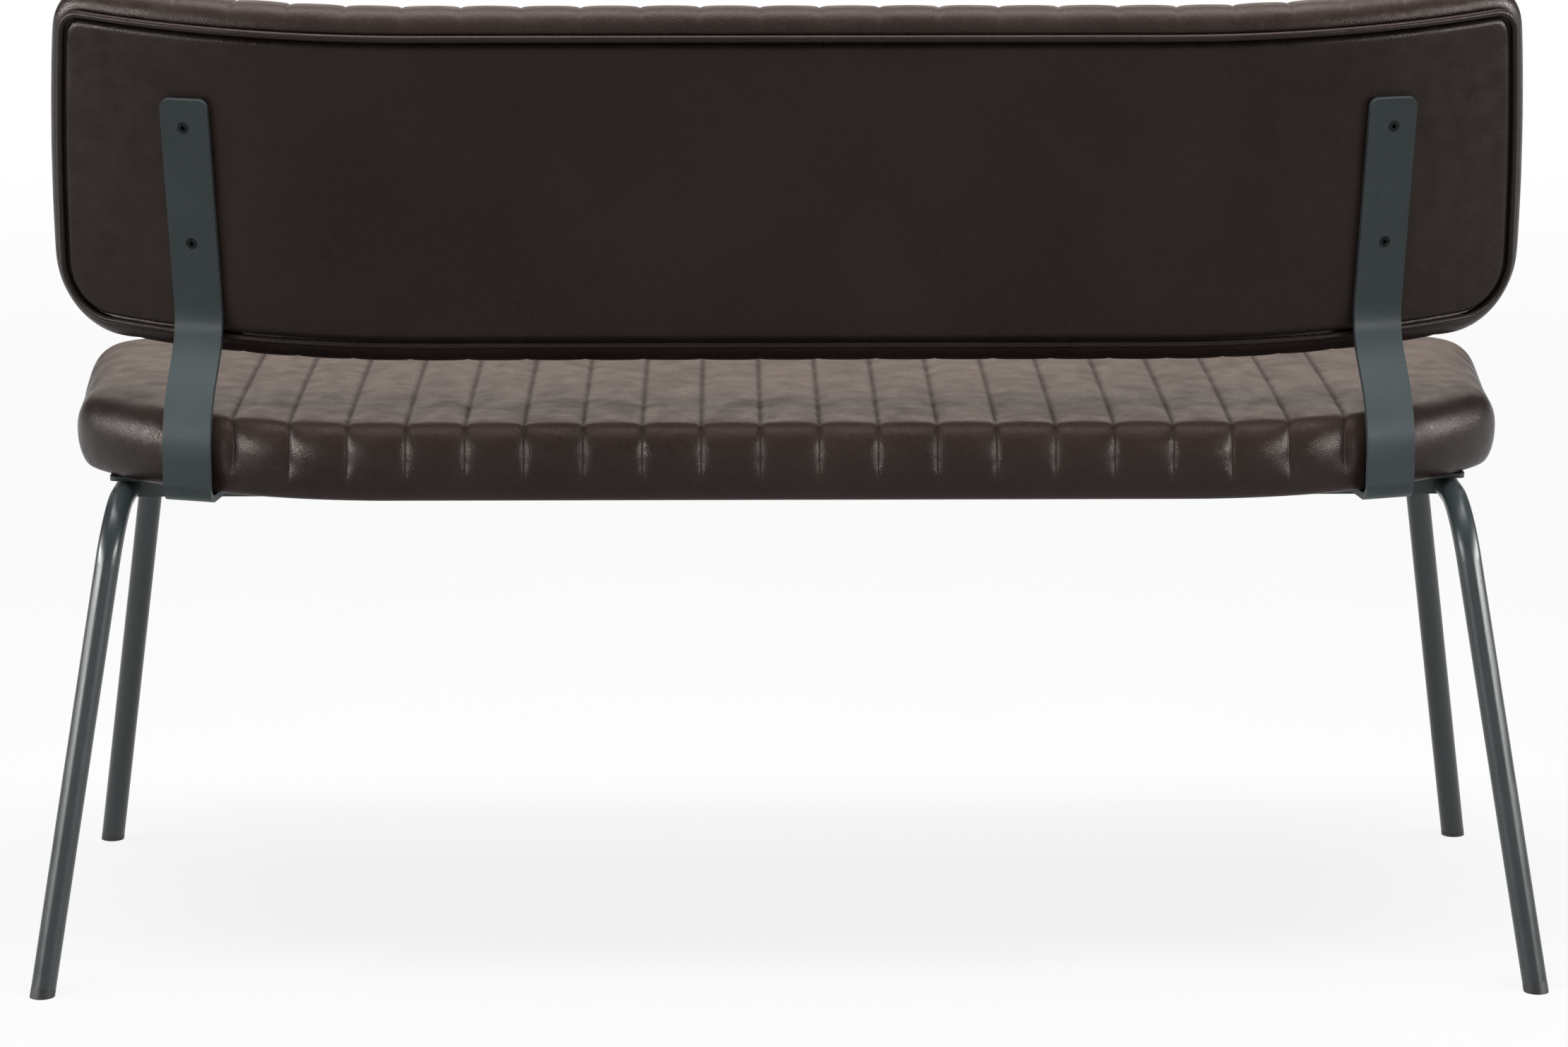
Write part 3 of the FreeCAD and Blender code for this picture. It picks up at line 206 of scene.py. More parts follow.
class QuiltSizes(bpy.types.PropertyGroup):
    """The sewn channels that both cushions share."""

    pitch: length("Pitch", "Distance between two seams", 0.050)
    depth: length("Channel depth", "Fall of the cover from a channel's top to its seam", 0.0050)
    fullness: share("Fullness", "Power of a channel's section on a face; less is flatter", 0.30)
    roundness: share("Roundness", "Power of a channel's section on the rolled edge", 0.62)
    # Painted shade: half width of the dark line painted into the leather's colour along each seam
    # crease.
    crease_shade_width: length("Thread width", "Half width of the dark line along a seam", 0.0016)
    crease: length("Crease depth", "Extra fall of the cover right at the thread", 0.0016)
    crease_width: length("Crease width", "Half width of the crease", 0.0022)
    pucker: length("Pucker", "Height of the gathers beside a seam", 0.0005)
    pucker_pitch: length("Pucker pitch", "Distance between two gathers", 0.011)
    puff: length("Puff", "Most that the pressure may move the cover", 0.0030)
    pressure: share("Pressure", "Inner pressure of the cloth simulation", 4.0)
    frames: count("Frames", "Frames of the cloth simulation", 14)


class BenchColours(bpy.types.PropertyGroup):
    """Base colours of the finishes, linear."""

    leather: colour("Leather", "Brown leather of the cushions", (0.026, 0.0172, 0.0148))
    steel: colour("Frame", "Slate powder coat of the legs", (0.031, 0.040, 0.042))
    strap: colour("Strap", "Slate powder coat of the straps", (0.072, 0.087, 0.091))
    plastic: colour("Foot", "Black plastic of the feet", (0.012, 0.012, 0.012))
    screw: colour("Screw", "Blackened steel of the screws", (0.008, 0.0095, 0.010))
    zinc: colour("Zinc", "Zinc-plated threaded inserts", (0.55, 0.55, 0.53))
    board: colour("Board", "Plywood of the boards", (0.47, 0.33, 0.19))
    lining: colour("Lining", "Black cloth under the seat", (0.015, 0.015, 0.016))


class StageSizes(bpy.types.PropertyGroup):
    """Camera and floor of the picture."""

    camera_x: length("Camera X", "Place of the camera along the bench", 0.052)
    camera_y: length("Camera Y", "Distance of the camera behind the bench", 4.279)
    camera_z: length("Camera Z", "Height of the camera", 1.280)
    pitch: angle("Pitch", "Fall of the view below the horizon", 12.15)
    yaw: angle("Yaw", "Turn of the view from square", 0.66)
    lens: share("Lens", "Focal length in millimetres", 112.83)
    sensor: share("Sensor", "Width of the camera's sensor in millimetres", 36.0)
    floor: length("Floor", "Side of the floor", 30.0)
    room: share("Room light", "Strength of the even light of the room", 0.10)


def setting(name):
    """One of the scene's property groups."""
    return getattr(bpy.context.scene, name)


def lerp(a, b, t):
    """A point between two points or numbers."""
    return a + (b - a) * t


def arc(centre, radius, start, stop, steps):
    """Points of an arc, with angles measured from the second axis towards the first."""
    points = []
    for i in range(steps + 1):
        turn = lerp(start, stop, i / steps)
        points.append(Vector((centre[0] + radius * math.sin(turn), centre[1] + radius * math.cos(turn))))
    return points


def resample(points, segments):
    """The polyline with evenly spaced points."""
    runs = [0.0]
    for a, b in zip(points, points[1:]):
        runs.append(runs[-1] + (b - a).length)
    result = []
    k = 0
    for i in range(segments + 1):
        target = runs[-1] * i / segments
        while k < len(runs) - 2 and runs[k + 1] < target:
            k += 1
        step = runs[k + 1] - runs[k]
        part = 0.0 if step == 0 else (target - runs[k]) / step
        result.append(lerp(points[k], points[k + 1], min(part, 1.0)))
    return result


class SeatPlan:
    """The seat's outline in plan; inset is the distance inside the widest contour."""

    def __init__(self, sizes, start):
        self.s = sizes
        self.start = start
        s = sizes
        middle = Vector((s.flat, s.rear - s.arc_radius))
        along = Vector((math.sin(s.arc_angle), math.cos(s.arc_angle)))
        self.arc_centre = middle
        self.corner = middle + along * (s.arc_radius - s.corner_radius)
        self.side_turn = math.pi / 2 - s.splay
        outward = Vector((math.sin(self.side_turn), math.cos(self.side_turn)))
        front_y = -s.front + s.front_radius
        gap = s.corner_radius - s.front_radius - outward.y * (front_y - self.corner.y)
        self.front_corner = Vector((self.corner.x + gap / outward.x, front_y))

    def rear(self, x, inset):
        """Y of the rear edge at x."""
        radius = self.s.arc_radius - inset
        over = max(0.0, abs(x) - self.s.flat)
        return self.arc_centre.y + math.sqrt(radius * radius - over * over)

    def front(self, x, inset):
        """Y of the front edge at x."""
        return inset - self.s.front

    def end(self, inset):
        """The end from its rear to its front, as three runs that meet in the corners."""
        s = self.s
        big = s.arc_radius - inset
        first = math.asin((self.start - s.flat) / big)
        split = lerp(s.arc_angle, self.side_turn, CORNER_SPLIT)
        fold = lerp(self.side_turn, math.pi, 0.5)
        small = s.corner_radius - inset
        near = s.front_radius - inset
        rear = arc(self.arc_centre, big, first, s.arc_angle, LONG_ARC)
        rear += arc(self.corner, small, s.arc_angle, split, SMALL_ARC)[1:]
        side = arc(self.corner, small, split, self.side_turn, SHORT_ARC)
        side += arc(self.front_corner, near, self.side_turn, fold, LONG_ARC)
        front = arc(self.front_corner, near, fold, math.pi, LONG_ARC)
        front.append(Vector((self.start, self.front(0, inset))))
        return rear, side, front


class BackPlan:
    """The backrest's outline, unrolled along its bend and up its face."""

    def __init__(self, sizes, start):
        self.s = sizes
        self.start = start

    def rear(self, along, inset):
        """Height of the upper edge."""
        return self.s.height - inset

    def front(self, along, inset):
        """Height of the lower edge."""
        return inset

    def bowed(self, point):
        """The point moved outwards by the bow of the end."""
        s = self.s
        rise = point.y / s.height
        reach = lerp(s.half_low, s.half_top, rise) - self.start
        part = max(0.0, point.x - self.start) / reach
        return Vector((point.x + 4 * s.bow * rise * (1 - rise) * part, point.y))

    def end(self, inset):
        """The end from its top to its bottom, as three runs that meet in the corners."""
        s = self.s
        turn = math.pi / 2 - math.atan((s.half_low - s.half_top) / s.height)
        outward = Vector((math.sin(turn), math.cos(turn)))
        foot = Vector((s.half_low, 0.0))

        def centre(radius, height):
            over = foot.x - (radius + outward.y * (height - foot.y)) / outward.x
            return Vector((over, height))

        top = centre(s.corner_top, s.height - s.corner_top)
        low = centre(s.corner_low, s.corner_low)
        r_top = s.corner_top - inset
        r_low = s.corner_low - inset
        rear = [Vector((self.start, s.height - inset))] + arc(top, r_top, 0.0, turn / 2, MIDDLE_ARC)
        side = arc(top, r_top, turn / 2, turn, MIDDLE_ARC)
        fold = lerp(turn, math.pi, 0.5)
        side += resample([side[-1], low + outward * r_low], LONG_ARC)[1:-1]
        side += arc(low, r_low, turn, fold, MIDDLE_ARC)
        front = arc(low, r_low, fold, math.pi, MIDDLE_ARC) + [Vector((self.start, inset))]
        return [[self.bowed(p) for p in run] for run in (rear, side, front)]

    def place(self, along, up, depth):
        """The world point for a place along the bend, up the face and forward from the rear."""
        s = self.s
        turn = max(0.0, abs(along) - s.flat) / s.bend
        radius = s.bend - depth
        x = math.copysign(min(abs(along), s.flat) + radius * math.sin(turn), along)
        y = radius * math.cos(turn) - s.bend
        return Vector((
            x,
            s.set_back + y * math.cos(s.lean) + up * math.sin(s.lean),
            s.bottom - y * math.sin(s.lean) + up * math.cos(s.lean),
        ))


def seam_stations(seams, pitch):
    """Mesh stations from the first seam to the last, closer together near each seam."""
    first = -pitch * (seams - 1) / 2
    stations = []
    for channel in range(seams - 1):
        stations += [first + (channel + step) * pitch for step in CHANNEL_STEPS]
    stations.append(first + (seams - 1) * pitch)
    return stations


def plain_stations(half, steps):
    """Evenly spaced mesh stations."""
    return [lerp(-half, half, i / steps) for i in range(steps + 1)]


class PaddedForm:
    """A closed skin over an outline: a face, rings round its edge, and a back.

    Its grid has straight columns in the middle and one patch at each end, whose corners lie in
    the rounded corners of the outline, so that every seam falls on a column.
    """

    def __init__(self, plan, stations, rows, end_columns, place):
        self.plan = plan
        self.stations = stations
        self.rows = rows
        self.ends = end_columns
        self.place = place
        self.columns = len(stations) + 2 * end_columns
        self.verts = []
        self.faces = []
        self.marks = []

    def edge(self, inset):
        """The outline at one inset: rear row, front row and the two end columns."""
        rear_end, side, front_end = self.plan.end(inset)
        rear_end = resample(rear_end, self.ends)
        side = resample(side, self.rows)
        front_end = resample(front_end, self.ends)
        front_end.reverse()
        mirror = [Vector((-p.x, p.y)) for p in side]
        rear = [Vector((-p.x, p.y)) for p in reversed(rear_end[1:])]
        rear += [Vector((x, self.plan.rear(x, inset))) for x in self.stations]
        rear += rear_end[1:]
        front = [Vector((-p.x, p.y)) for p in reversed(front_end[1:])]
        front += [Vector((x, self.plan.front(x, inset))) for x in self.stations]
        front += front_end[1:]
        return rear, front, mirror, side

    def grid(self, inset):
        """All grid points inside the outline at one inset."""
        rear, front, low, high = self.edge(inset)
        points = []
        last = self.columns - 1
        for i in range(self.columns):
            column = []
            for j in range(self.rows + 1):
                v = j / self.rows
                if i < self.ends:
                    u = i / self.ends
                    column.append(self.patch(rear, front, low, 0, self.ends, u, v, i, j))
                elif i > last - self.ends:
                    u = (last - i) / self.ends
                    column.append(self.patch(rear, front, high, last, last - self.ends, u, v, i, j))
                else:
                    column.append(lerp(rear[i], front[i], v))
            points.append(column)
        return points

    def patch(self, rear, front, side, outer, inner, u, v, i, j):
        """One point of an end patch, blended from its four edges."""
        across = lerp(rear[i], front[i], v)
        inside = lerp(rear[inner], front[inner], v)
        along = lerp(side[j], inside, u)
        corner_rear = lerp(rear[outer], rear[inner], u)
        corner_front = lerp(front[outer], front[inner], u)
        return across + along - lerp(corner_rear, corner_front, v)

    def loop(self, inset):
        """The outline's points in order round the edge."""
        rear, front, low, high = self.edge(inset)
        return rear + high[1:-1] + front[::-1] + low[-2:0:-1]

    def add(self, flat, depth, mark):
        """Adds a vertex and keeps what the quilting needs to know of it."""
        self.verts.append(self.place(flat.x, flat.y, depth))
        self.marks.append((flat.x, flat.y, depth, mark))
        return len(self.verts) - 1

    def add_grid(self, inset, depth, mark, reverse):
        """Adds a whole face; depth is a function of the place on it."""
        points = self.grid(inset)
        ids = []
        for i, column in enumerate(points):
            ids.append([self.add(p, depth(i / (self.columns - 1), j / self.rows), mark)
                        for j, p in enumerate(column)])
        for i in range(self.columns - 1):
            for j in range(self.rows):
                quad = (ids[i][j], ids[i + 1][j], ids[i + 1][j + 1], ids[i][j + 1])
                self.faces.append(quad if reverse else quad[::-1])
        rim = [column[0] for column in ids]
        rim += ids[-1][1:-1]
        rim += [column[-1] for column in reversed(ids)]
        rim += ids[0][-2:0:-1]
        return rim

    def add_ring(self, before, inset, depth, mark):
        """Adds a ring of faces that leads on from the ring before it."""
        now = [self.add(p, depth, mark) for p in self.loop(inset)]
        self.join(before, now)
        return now

    def join(self, before, now):
        """Adds the faces between two rings."""
        size = len(now)
        for k in range(size):
            after = (k + 1) % size
            self.faces.append((before[k], before[after], now[after], now[k]))

    def build(self, name):
        """Makes the mesh object, with its normals to the outside."""
        mesh = bpy.data.meshes.new(name)
        mesh.from_pydata(self.verts, [], self.faces)
        obj = bpy.data.objects.new(name, mesh)
        bpy.context.scene.collection.objects.link(obj)
        select_only(obj)
        bpy.ops.object.mode_set(mode="EDIT")
        bpy.ops.mesh.select_all(action="SELECT")
        bpy.ops.mesh.normals_make_consistent(inside=False)
        bpy.ops.object.mode_set(mode="OBJECT")
        bpy.ops.object.shade_smooth()
        return obj


def upright(x, y, z):
    """The world point for a place in plan and a height."""
    return Vector((x, y, z))


def select_only(obj):
    """Makes one object the selected and active one."""
    bpy.ops.object.select_all(action="DESELECT")
    obj.select_set(True)
    bpy.context.view_layer.objects.active = obj


def quarter(steps, first, last):
    """Angles of a quarter turn, without its first."""
    return [lerp(first, last, i / steps) for i in range(1, steps + 1)]


def crowned(edge, rise):
    """A function that gives the height of a crowned face over its edge."""
    def height(u, v):
        return edge + rise * (1 - (2 * v - 1) ** 2) * (1 - (2 * u - 1) ** CROWN_POWER)

    return height


def seam_gap(along, seams, pitch):
    """The nearest seam's number and the distance to it."""
    place = along / pitch + (seams - 1) / 2
    nearest = min(max(round(place), 0), seams - 1)
    return nearest, abs(place - nearest) * pitch


def quilt(obj, form, seams, q, reach):
    """Draws the cover in along its seams.

    reach gives how far the sewing still holds at a vertex, and how round the channels are there.
    """
    normals = [v.normal.copy() for v in obj.data.vertices]
    # The seam attribute holds painted shade: a dark line painted into the leather's colour along each
    # seam crease.
    seam = obj.data.attributes.new("seam", "FLOAT", "POINT")
    for vertex, normal, (along, across, depth, mark) in zip(obj.data.vertices, normals, form.marks):
        hold, rounding = reach(depth, mark)
        if hold <= 0:
            continue
        nearest, gap = seam_gap(along, seams, q.pitch)
        swell = max(0.0, math.sin(math.pi * min(gap / q.pitch, 0.5)))
        fall = q.depth * lerp(1 - swell ** q.fullness, 1 - swell ** q.roundness, rounding)
        fall += q.crease * lerp(1.0, ROLL_CREASE, rounding) * math.exp(-((gap / q.crease_width) ** 2))
        turn = 2 * math.pi * (across - PUCKER_SLANT * depth) / q.pucker_pitch
        wave = math.sin(turn + PUCKER_SHIFT * nearest) * (0.5 + noise.noise(vertex.co * PUCKER_CELLS))
        fall += q.pucker * wave * math.exp(-gap / PUCKER_REACH) * min(1.0, gap / PUCKER_START)
        fall += UNEVEN_DEPTH * noise.noise(vertex.co * UNEVEN_CELLS)
        vertex.co -= normal * fall * hold
        # Painted shade along the crease, fainter on the rolled edges and where the sewing holds less.
        crease_shade = math.exp(-((gap / q.crease_shade_width) ** 2))
        shown = lerp(1.0, ROLL_CREASE_SHADE, rounding) * min(1.0, CREASE_SHADE_GAIN * hold)
        seam.data[vertex.index].value = crease_shade * shown


def settle(obj, form, q, held):
    """Lets a cloth simulation fill the channels between their seams, within the puff's limit."""
    group = obj.vertex_groups.new(name="sewn")
    for index, (along, across, depth, mark) in enumerate(form.marks):
        if held(along, depth, mark):
            group.add([index], 1.0, "REPLACE")
    before = [v.co.copy() for v in obj.data.vertices]
    cloth = obj.modifiers.new("Cloth", "CLOTH")
    for name, value in CLOTH.items():
        setattr(cloth.settings, name, value)
    cloth.settings.use_pressure = True
    cloth.settings.uniform_pressure_force = q.pressure
    cloth.settings.vertex_group_mass = "sewn"
    cloth.settings.effector_weights.gravity = 0.0
    cloth.point_cache.frame_start = 1
    cloth.point_cache.frame_end = q.frames
    scene = bpy.context.scene
    for step in range(1, q.frames + 1):
        scene.frame_set(step)
    select_only(obj)
    bpy.ops.object.modifier_apply(modifier=cloth.name)
    scene.frame_set(1)
    moves = []
    for vertex, place in zip(obj.data.vertices, before):
        move = vertex.co - place
        moves.append(move if move.length <= q.puff else move.normalized() * q.puff)
    for vertex, place, move in zip(obj.data.vertices, before, evened(obj.data, moves, EVEN_PASSES)):
        vertex.co = place + move
    obj.vertex_groups.clear()


def evened(mesh, moves, passes):
    """The moves of a mesh's vertices, each averaged with those of its neighbours."""
    around = [[] for vertex in mesh.vertices]
    for edge in mesh.edges:
        first, second = edge.vertices
        around[first].append(second)
        around[second].append(first)
    for turn in range(passes):
        moves = [
            lerp(move, sum((moves[n] for n in near), Vector()) / len(near), 0.5)
            for move, near in zip(moves, around)
        ]
    return moves


def subdivide(obj, levels):
    """Applies a subdivision surface."""
    select_only(obj)
    smooth = obj.modifiers.new("Smooth", "SUBSURF")
    smooth.levels = levels
    smooth.render_levels = levels
    bpy.ops.object.modifier_apply(modifier=smooth.name)
    bpy.ops.object.shade_smooth()


class Shader:
    """A node material with a Principled surface and Object coordinates."""

    def __init__(self, name):
        self.material = bpy.data.materials.new(name)
        self.material.use_nodes = True
        self.nodes = self.material.node_tree.nodes
        self.links = self.material.node_tree.links
        self.surface = self.nodes["Principled BSDF"]
        self.coords = self.add("ShaderNodeTexCoord").outputs["Object"]

    def add(self, kind, **values):
        """A node with these socket or property values."""
        item = self.nodes.new(kind)
        for key, value in values.items():
            if key in item.inputs:
                item.inputs[key].default_value = value
            else:
                setattr(item, key, value)
        return item

    def noise(self, scale, detail=3.0, stretch=(1, 1, 1)):
        """The value of a noise pattern, scale in cells for each metre."""
        mapping = self.add("ShaderNodeMapping")
        mapping.inputs["Scale"].default_value = stretch
        self.links.new(self.coords, mapping.inputs["Vector"])
        item = self.add("ShaderNodeTexNoise", Scale=scale, Detail=detail)
        self.links.new(mapping.outputs["Vector"], item.inputs["Vector"])
        return item.outputs["Fac"]

    def cells(self, scale):
        """The edge distance of a cell pattern, scale in cells for each metre."""
        item = self.add("ShaderNodeTexVoronoi", Scale=scale, feature="DISTANCE_TO_EDGE")
        self.links.new(self.coords, item.inputs["Vector"])
        return item.outputs["Distance"]

    def spread(self, value, low, high, source=(0.3, 0.7)):
        """The value mapped to a range."""
        item = self.add("ShaderNodeMapRange")
        item.inputs["From Min"].default_value = source[0]
        item.inputs["From Max"].default_value = source[1]
        item.inputs["To Min"].default_value = low
        item.inputs["To Max"].default_value = high
        self.links.new(value, item.inputs["Value"])
        return item.outputs["Result"]

    def mix(self, factor, low, high):
        """A colour between two colours or colour sockets."""
        item = self.add("ShaderNodeMix", data_type="RGBA")
        self.links.new(factor, item.inputs["Factor"])
        for name, value in (("A", low), ("B", high)):
            socket = [s for s in item.inputs if s.name == name and s.type == "RGBA"][0]
            if hasattr(value, "is_output"):
                self.links.new(value, socket)
            else:
                socket.default_value = (*value, 1.0)
        return [s for s in item.outputs if s.type == "RGBA"][0]

    def raised(self, value, where, amount):
        """The value, raised by an amount where another value is 1."""
        item = self.add("ShaderNodeMath", operation="MULTIPLY_ADD")
        item.inputs[1].default_value = amount
        self.links.new(where, item.inputs[0])
        self.links.new(value, item.inputs[2])
        return item.outputs["Value"]

    def bump(self, value, strength, distance, below=None):
        """A bump on top of another one."""
        item = self.add("ShaderNodeBump", Strength=strength, Distance=distance)
        self.links.new(value, item.inputs["Height"])
        if below is not None:
            self.links.new(below, item.inputs["Normal"])
        return item.outputs["Normal"]

    def wire(self, **sockets):
        """Connects sockets of the surface, with spaces for underscores in their names."""
        for name, value in sockets.items():
            self.links.new(value, self.surface.inputs[name.replace("_", " ")])

    def fix(self, **values):
        """Sets values on the surface that are the same all over."""
        for name, value in values.items():
            self.surface.inputs[name.replace("_", " ")].default_value = value


def shade(tint, factor):
    """A lighter or darker colour."""
    return tuple(min(1.0, part * factor) for part in tint)


def leather(name, tint, gloss, sewn):
    """Soft corrected-grain leather: mottled, pebbled, with a satin sheen and painted shade along the
    seam creases.
    """
    s = Shader(name)
    cloud = s.noise(scale=7.0, detail=4.0)
    fleck = s.noise(scale=240.0, detail=2.0)
    broad = s.mix(s.spread(cloud, low=0.0, high=1.0), shade(tint, 0.72), shade(tint, 1.28))
    tone = s.mix(s.spread(fleck, low=0.0, high=0.35), broad, shade(tint, 1.7))
    rough = s.spread(s.noise(scale=48.0, detail=6.0), low=0.24, high=0.43)
    if sewn:
        # Painted shade: the seam attribute darkens the colour along each seam crease and roughens it
        # there.
        crease_shade = s.add("ShaderNodeAttribute", attribute_name="seam").outputs["Fac"]
        line = s.spread(crease_shade, low=0.0, high=0.65, source=(0.1, 0.9))
        tone = s.mix(line, tone, shade(tint, 0.18))
        rough = s.raised(rough, crease_shade, amount=0.24)
    s.wire(Base_Color=tone, Roughness=rough)
    fold = s.noise(scale=55.0, detail=4.0, stretch=(1.0, 0.6, 1.0))
    pebble = s.spread(s.cells(scale=620.0), low=0.0, high=1.0, source=(0.0, 0.35))
    pore = s.noise(scale=1500.0, detail=2.0)
    creases = s.bump(fold, strength=0.30, distance=0.0016)
    grain = s.bump(pebble, strength=0.28, distance=0.0003, below=creases)
    s.wire(Normal=s.bump(pore, strength=0.12, distance=0.0002, below=grain))
    s.fix(Specular_IOR_Level=gloss, Specular_Tint=(1.0, 0.86, 0.80, 1.0))
    return s.material


def powder_coat(name, tint, gloss):
    """Satin powder coat on steel: fine orange peel, faint dust and rub marks."""
    s = Shader(name)
    patch = s.spread(s.noise(scale=9.0, detail=4.0), low=0.0, high=1.0)
    dust = s.spread(s.noise(scale=420.0, detail=2.0), low=0.0, high=0.35, source=(0.55, 0.8))
    coat = s.mix(patch, shade(tint, 0.86), shade(tint, 1.16))
    s.wire(Base_Color=s.mix(dust, coat, shade(tint, 1.7)))
    s.wire(Roughness=s.spread(s.noise(scale=25.0, detail=3.0), low=0.27, high=0.37))
    peel = s.bump(s.noise(scale=650.0, detail=2.0), strength=0.16, distance=0.0003)
    wave = s.noise(scale=70.0, detail=2.0)
    s.wire(Normal=s.bump(wave, strength=0.05, distance=0.0006, below=peel))
    s.fix(Specular_IOR_Level=gloss)
    return s.material


def plastic(name, tint):
    """Moulded plastic with a fine spark texture."""
    s = Shader(name)
    cloud = s.spread(s.noise(scale=60.0), low=0.0, high=1.0)
    s.wire(Base_Color=s.mix(cloud, shade(tint, 0.8), shade(tint, 1.5)))
    s.wire(Roughness=s.spread(s.noise(scale=45.0), low=0.42, high=0.6))
    s.wire(Normal=s.bump(s.noise(scale=1300.0, detail=2.0), strength=0.2, distance=0.0002))
    return s.material


def bare_metal(name, tint, smooth, rough):
    """Plated or blackened steel with fine turning marks, its roughness between two values."""
    s = Shader(name)
    cloud = s.spread(s.noise(scale=300.0), low=0.0, high=1.0)
    s.wire(Base_Color=s.mix(cloud, shade(tint, 0.7), shade(tint, 1.25)))
    s.wire(Roughness=s.spread(s.noise(scale=180.0), low=smooth, high=rough))
    marks = s.noise(scale=900.0, detail=2.0, stretch=(1, 1, 0.1))
    s.wire(Normal=s.bump(marks, strength=0.1, distance=0.0001))
    s.fix(Metallic=0.9)
    return s.material


def plywood(name, tint):
    """Birch plywood with stretched grain."""
    s = Shader(name)
    grain = s.noise(scale=40.0, detail=6.0, stretch=(0.08, 1.0, 1.0))
    s.wire(Base_Color=s.mix(s.spread(grain, low=0.0, high=1.0), shade(tint, 0.7), shade(tint, 1.15)))
    s.wire(Roughness=s.spread(s.noise(scale=90.0), low=0.55, high=0.75))
    s.wire(Normal=s.bump(grain, strength=0.15, distance=0.0005))
    return s.material


def woven(name, tint):
    """Thin black woven cloth."""
    s = Shader(name)
    across = s.noise(scale=900.0, detail=1.0, stretch=(0.05, 1.0, 1.0))
    along = s.noise(scale=900.0, detail=1.0, stretch=(1.0, 0.05, 1.0))
    s.wire(Base_Color=s.mix(s.spread(across, low=0.0, high=1.0), shade(tint, 0.7), shade(tint, 1.8)))
    s.wire(Roughness=s.spread(along, low=0.78, high=0.95))
    weave = s.bump(across, strength=0.35, distance=0.0004)
    s.wire(Normal=s.bump(along, strength=0.35, distance=0.0004, below=weave))
    return s.material


def wear(obj, material):
    """Gives an object one material in place of what it had."""
    obj.data.materials.clear()
    obj.data.materials.append(material)


def dress(material, *names):
    """Gives CAD nodes a finish."""
    for name in names:
        wear(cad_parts[name], material)


class BENCH_OT_seat(bpy.types.Operator):
    """Make the quilted seat cushion"""

    bl_idname = "bench.seat"
    bl_label = "Seat Cushion"
    bl_options = {"REGISTER", "UNDO"}

    def execute(self, context):
        s = setting("bench_seat")
        q = setting("bench_quilt")
        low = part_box("seat_cover")[0][2]
        board_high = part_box("seat_board")[1]
        board_inset = s.rear - board_high[1]
        stations = seam_stations(s.seams, q.pitch)
        form = PaddedForm(SeatPlan(s, stations[-1]), stations, s.rows, s.end_columns, upright)
        belly = low + s.belly
        edge = low + s.edge
        ring = form.add_grid(s.roll, crowned(edge, s.crown), "face", True)
        for turn in quarter(FRONT_RINGS, math.pi / 2, 0.0):
            inset = s.roll * (1 - math.cos(turn))
            ring = form.add_ring(ring, inset, lerp(belly, edge, math.sin(turn)), "roll")
        for turn in quarter(REAR_RINGS, 0.0, math.pi / 2):
            inset = s.tuck * (1 - math.cos(turn))
            ring = form.add_ring(ring, inset, lerp(belly, low, math.sin(turn)), "side")
        inside = board_inset - CLEARANCE
        under = low + LIP_SHARE * s.lip_thick
        over = board_high[2] + CLEARANCE
        for inset, height in ((s.lip, low), (s.lip, under), (inside, under), (inside, over)):
            ring = form.add_ring(ring, inset, height, "hidden")
        inner = form.add_grid(s.lip, lambda u, v: over, "hidden", False)
        form.join(ring, inner)
        obj = form.build("seat_cushion")
        face_hold, roll_hold = 0.6, 1.05
        fade = 1.9
        sewn_to, free_from = 0.3, 0.75

        def reach(depth, mark):
            if mark == "hidden":
                return 0.0, 0.0
            if mark == "face":
                return face_hold, 0.0
            if mark == "roll":
                rise = (depth - belly) / (edge - belly)
                return lerp(roll_hold, face_hold, rise ** 3), 1 - rise ** 6
            return max(0.0, roll_hold * (1 - fade * (belly - depth) / s.belly)), 1.0

        def held(along, depth, mark):
            if mark == "hidden" or depth < belly - free_from * s.belly:
                return True
            near = seam_gap(along, s.seams, q.pitch)[1] < SEAM_HOLD
            return near and depth > belly - sewn_to * s.belly

        quilt(obj, form, s.seams, q, reach)
        settle(obj, form, q, held)
        subdivide(obj, 1)
        wear(obj, leather("seat_leather", setting("bench_colours").leather, COVER_GLOSS, sewn=True))
        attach(obj, "root")
        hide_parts("seat_cover", "seat_foam")
        return {"FINISHED"}


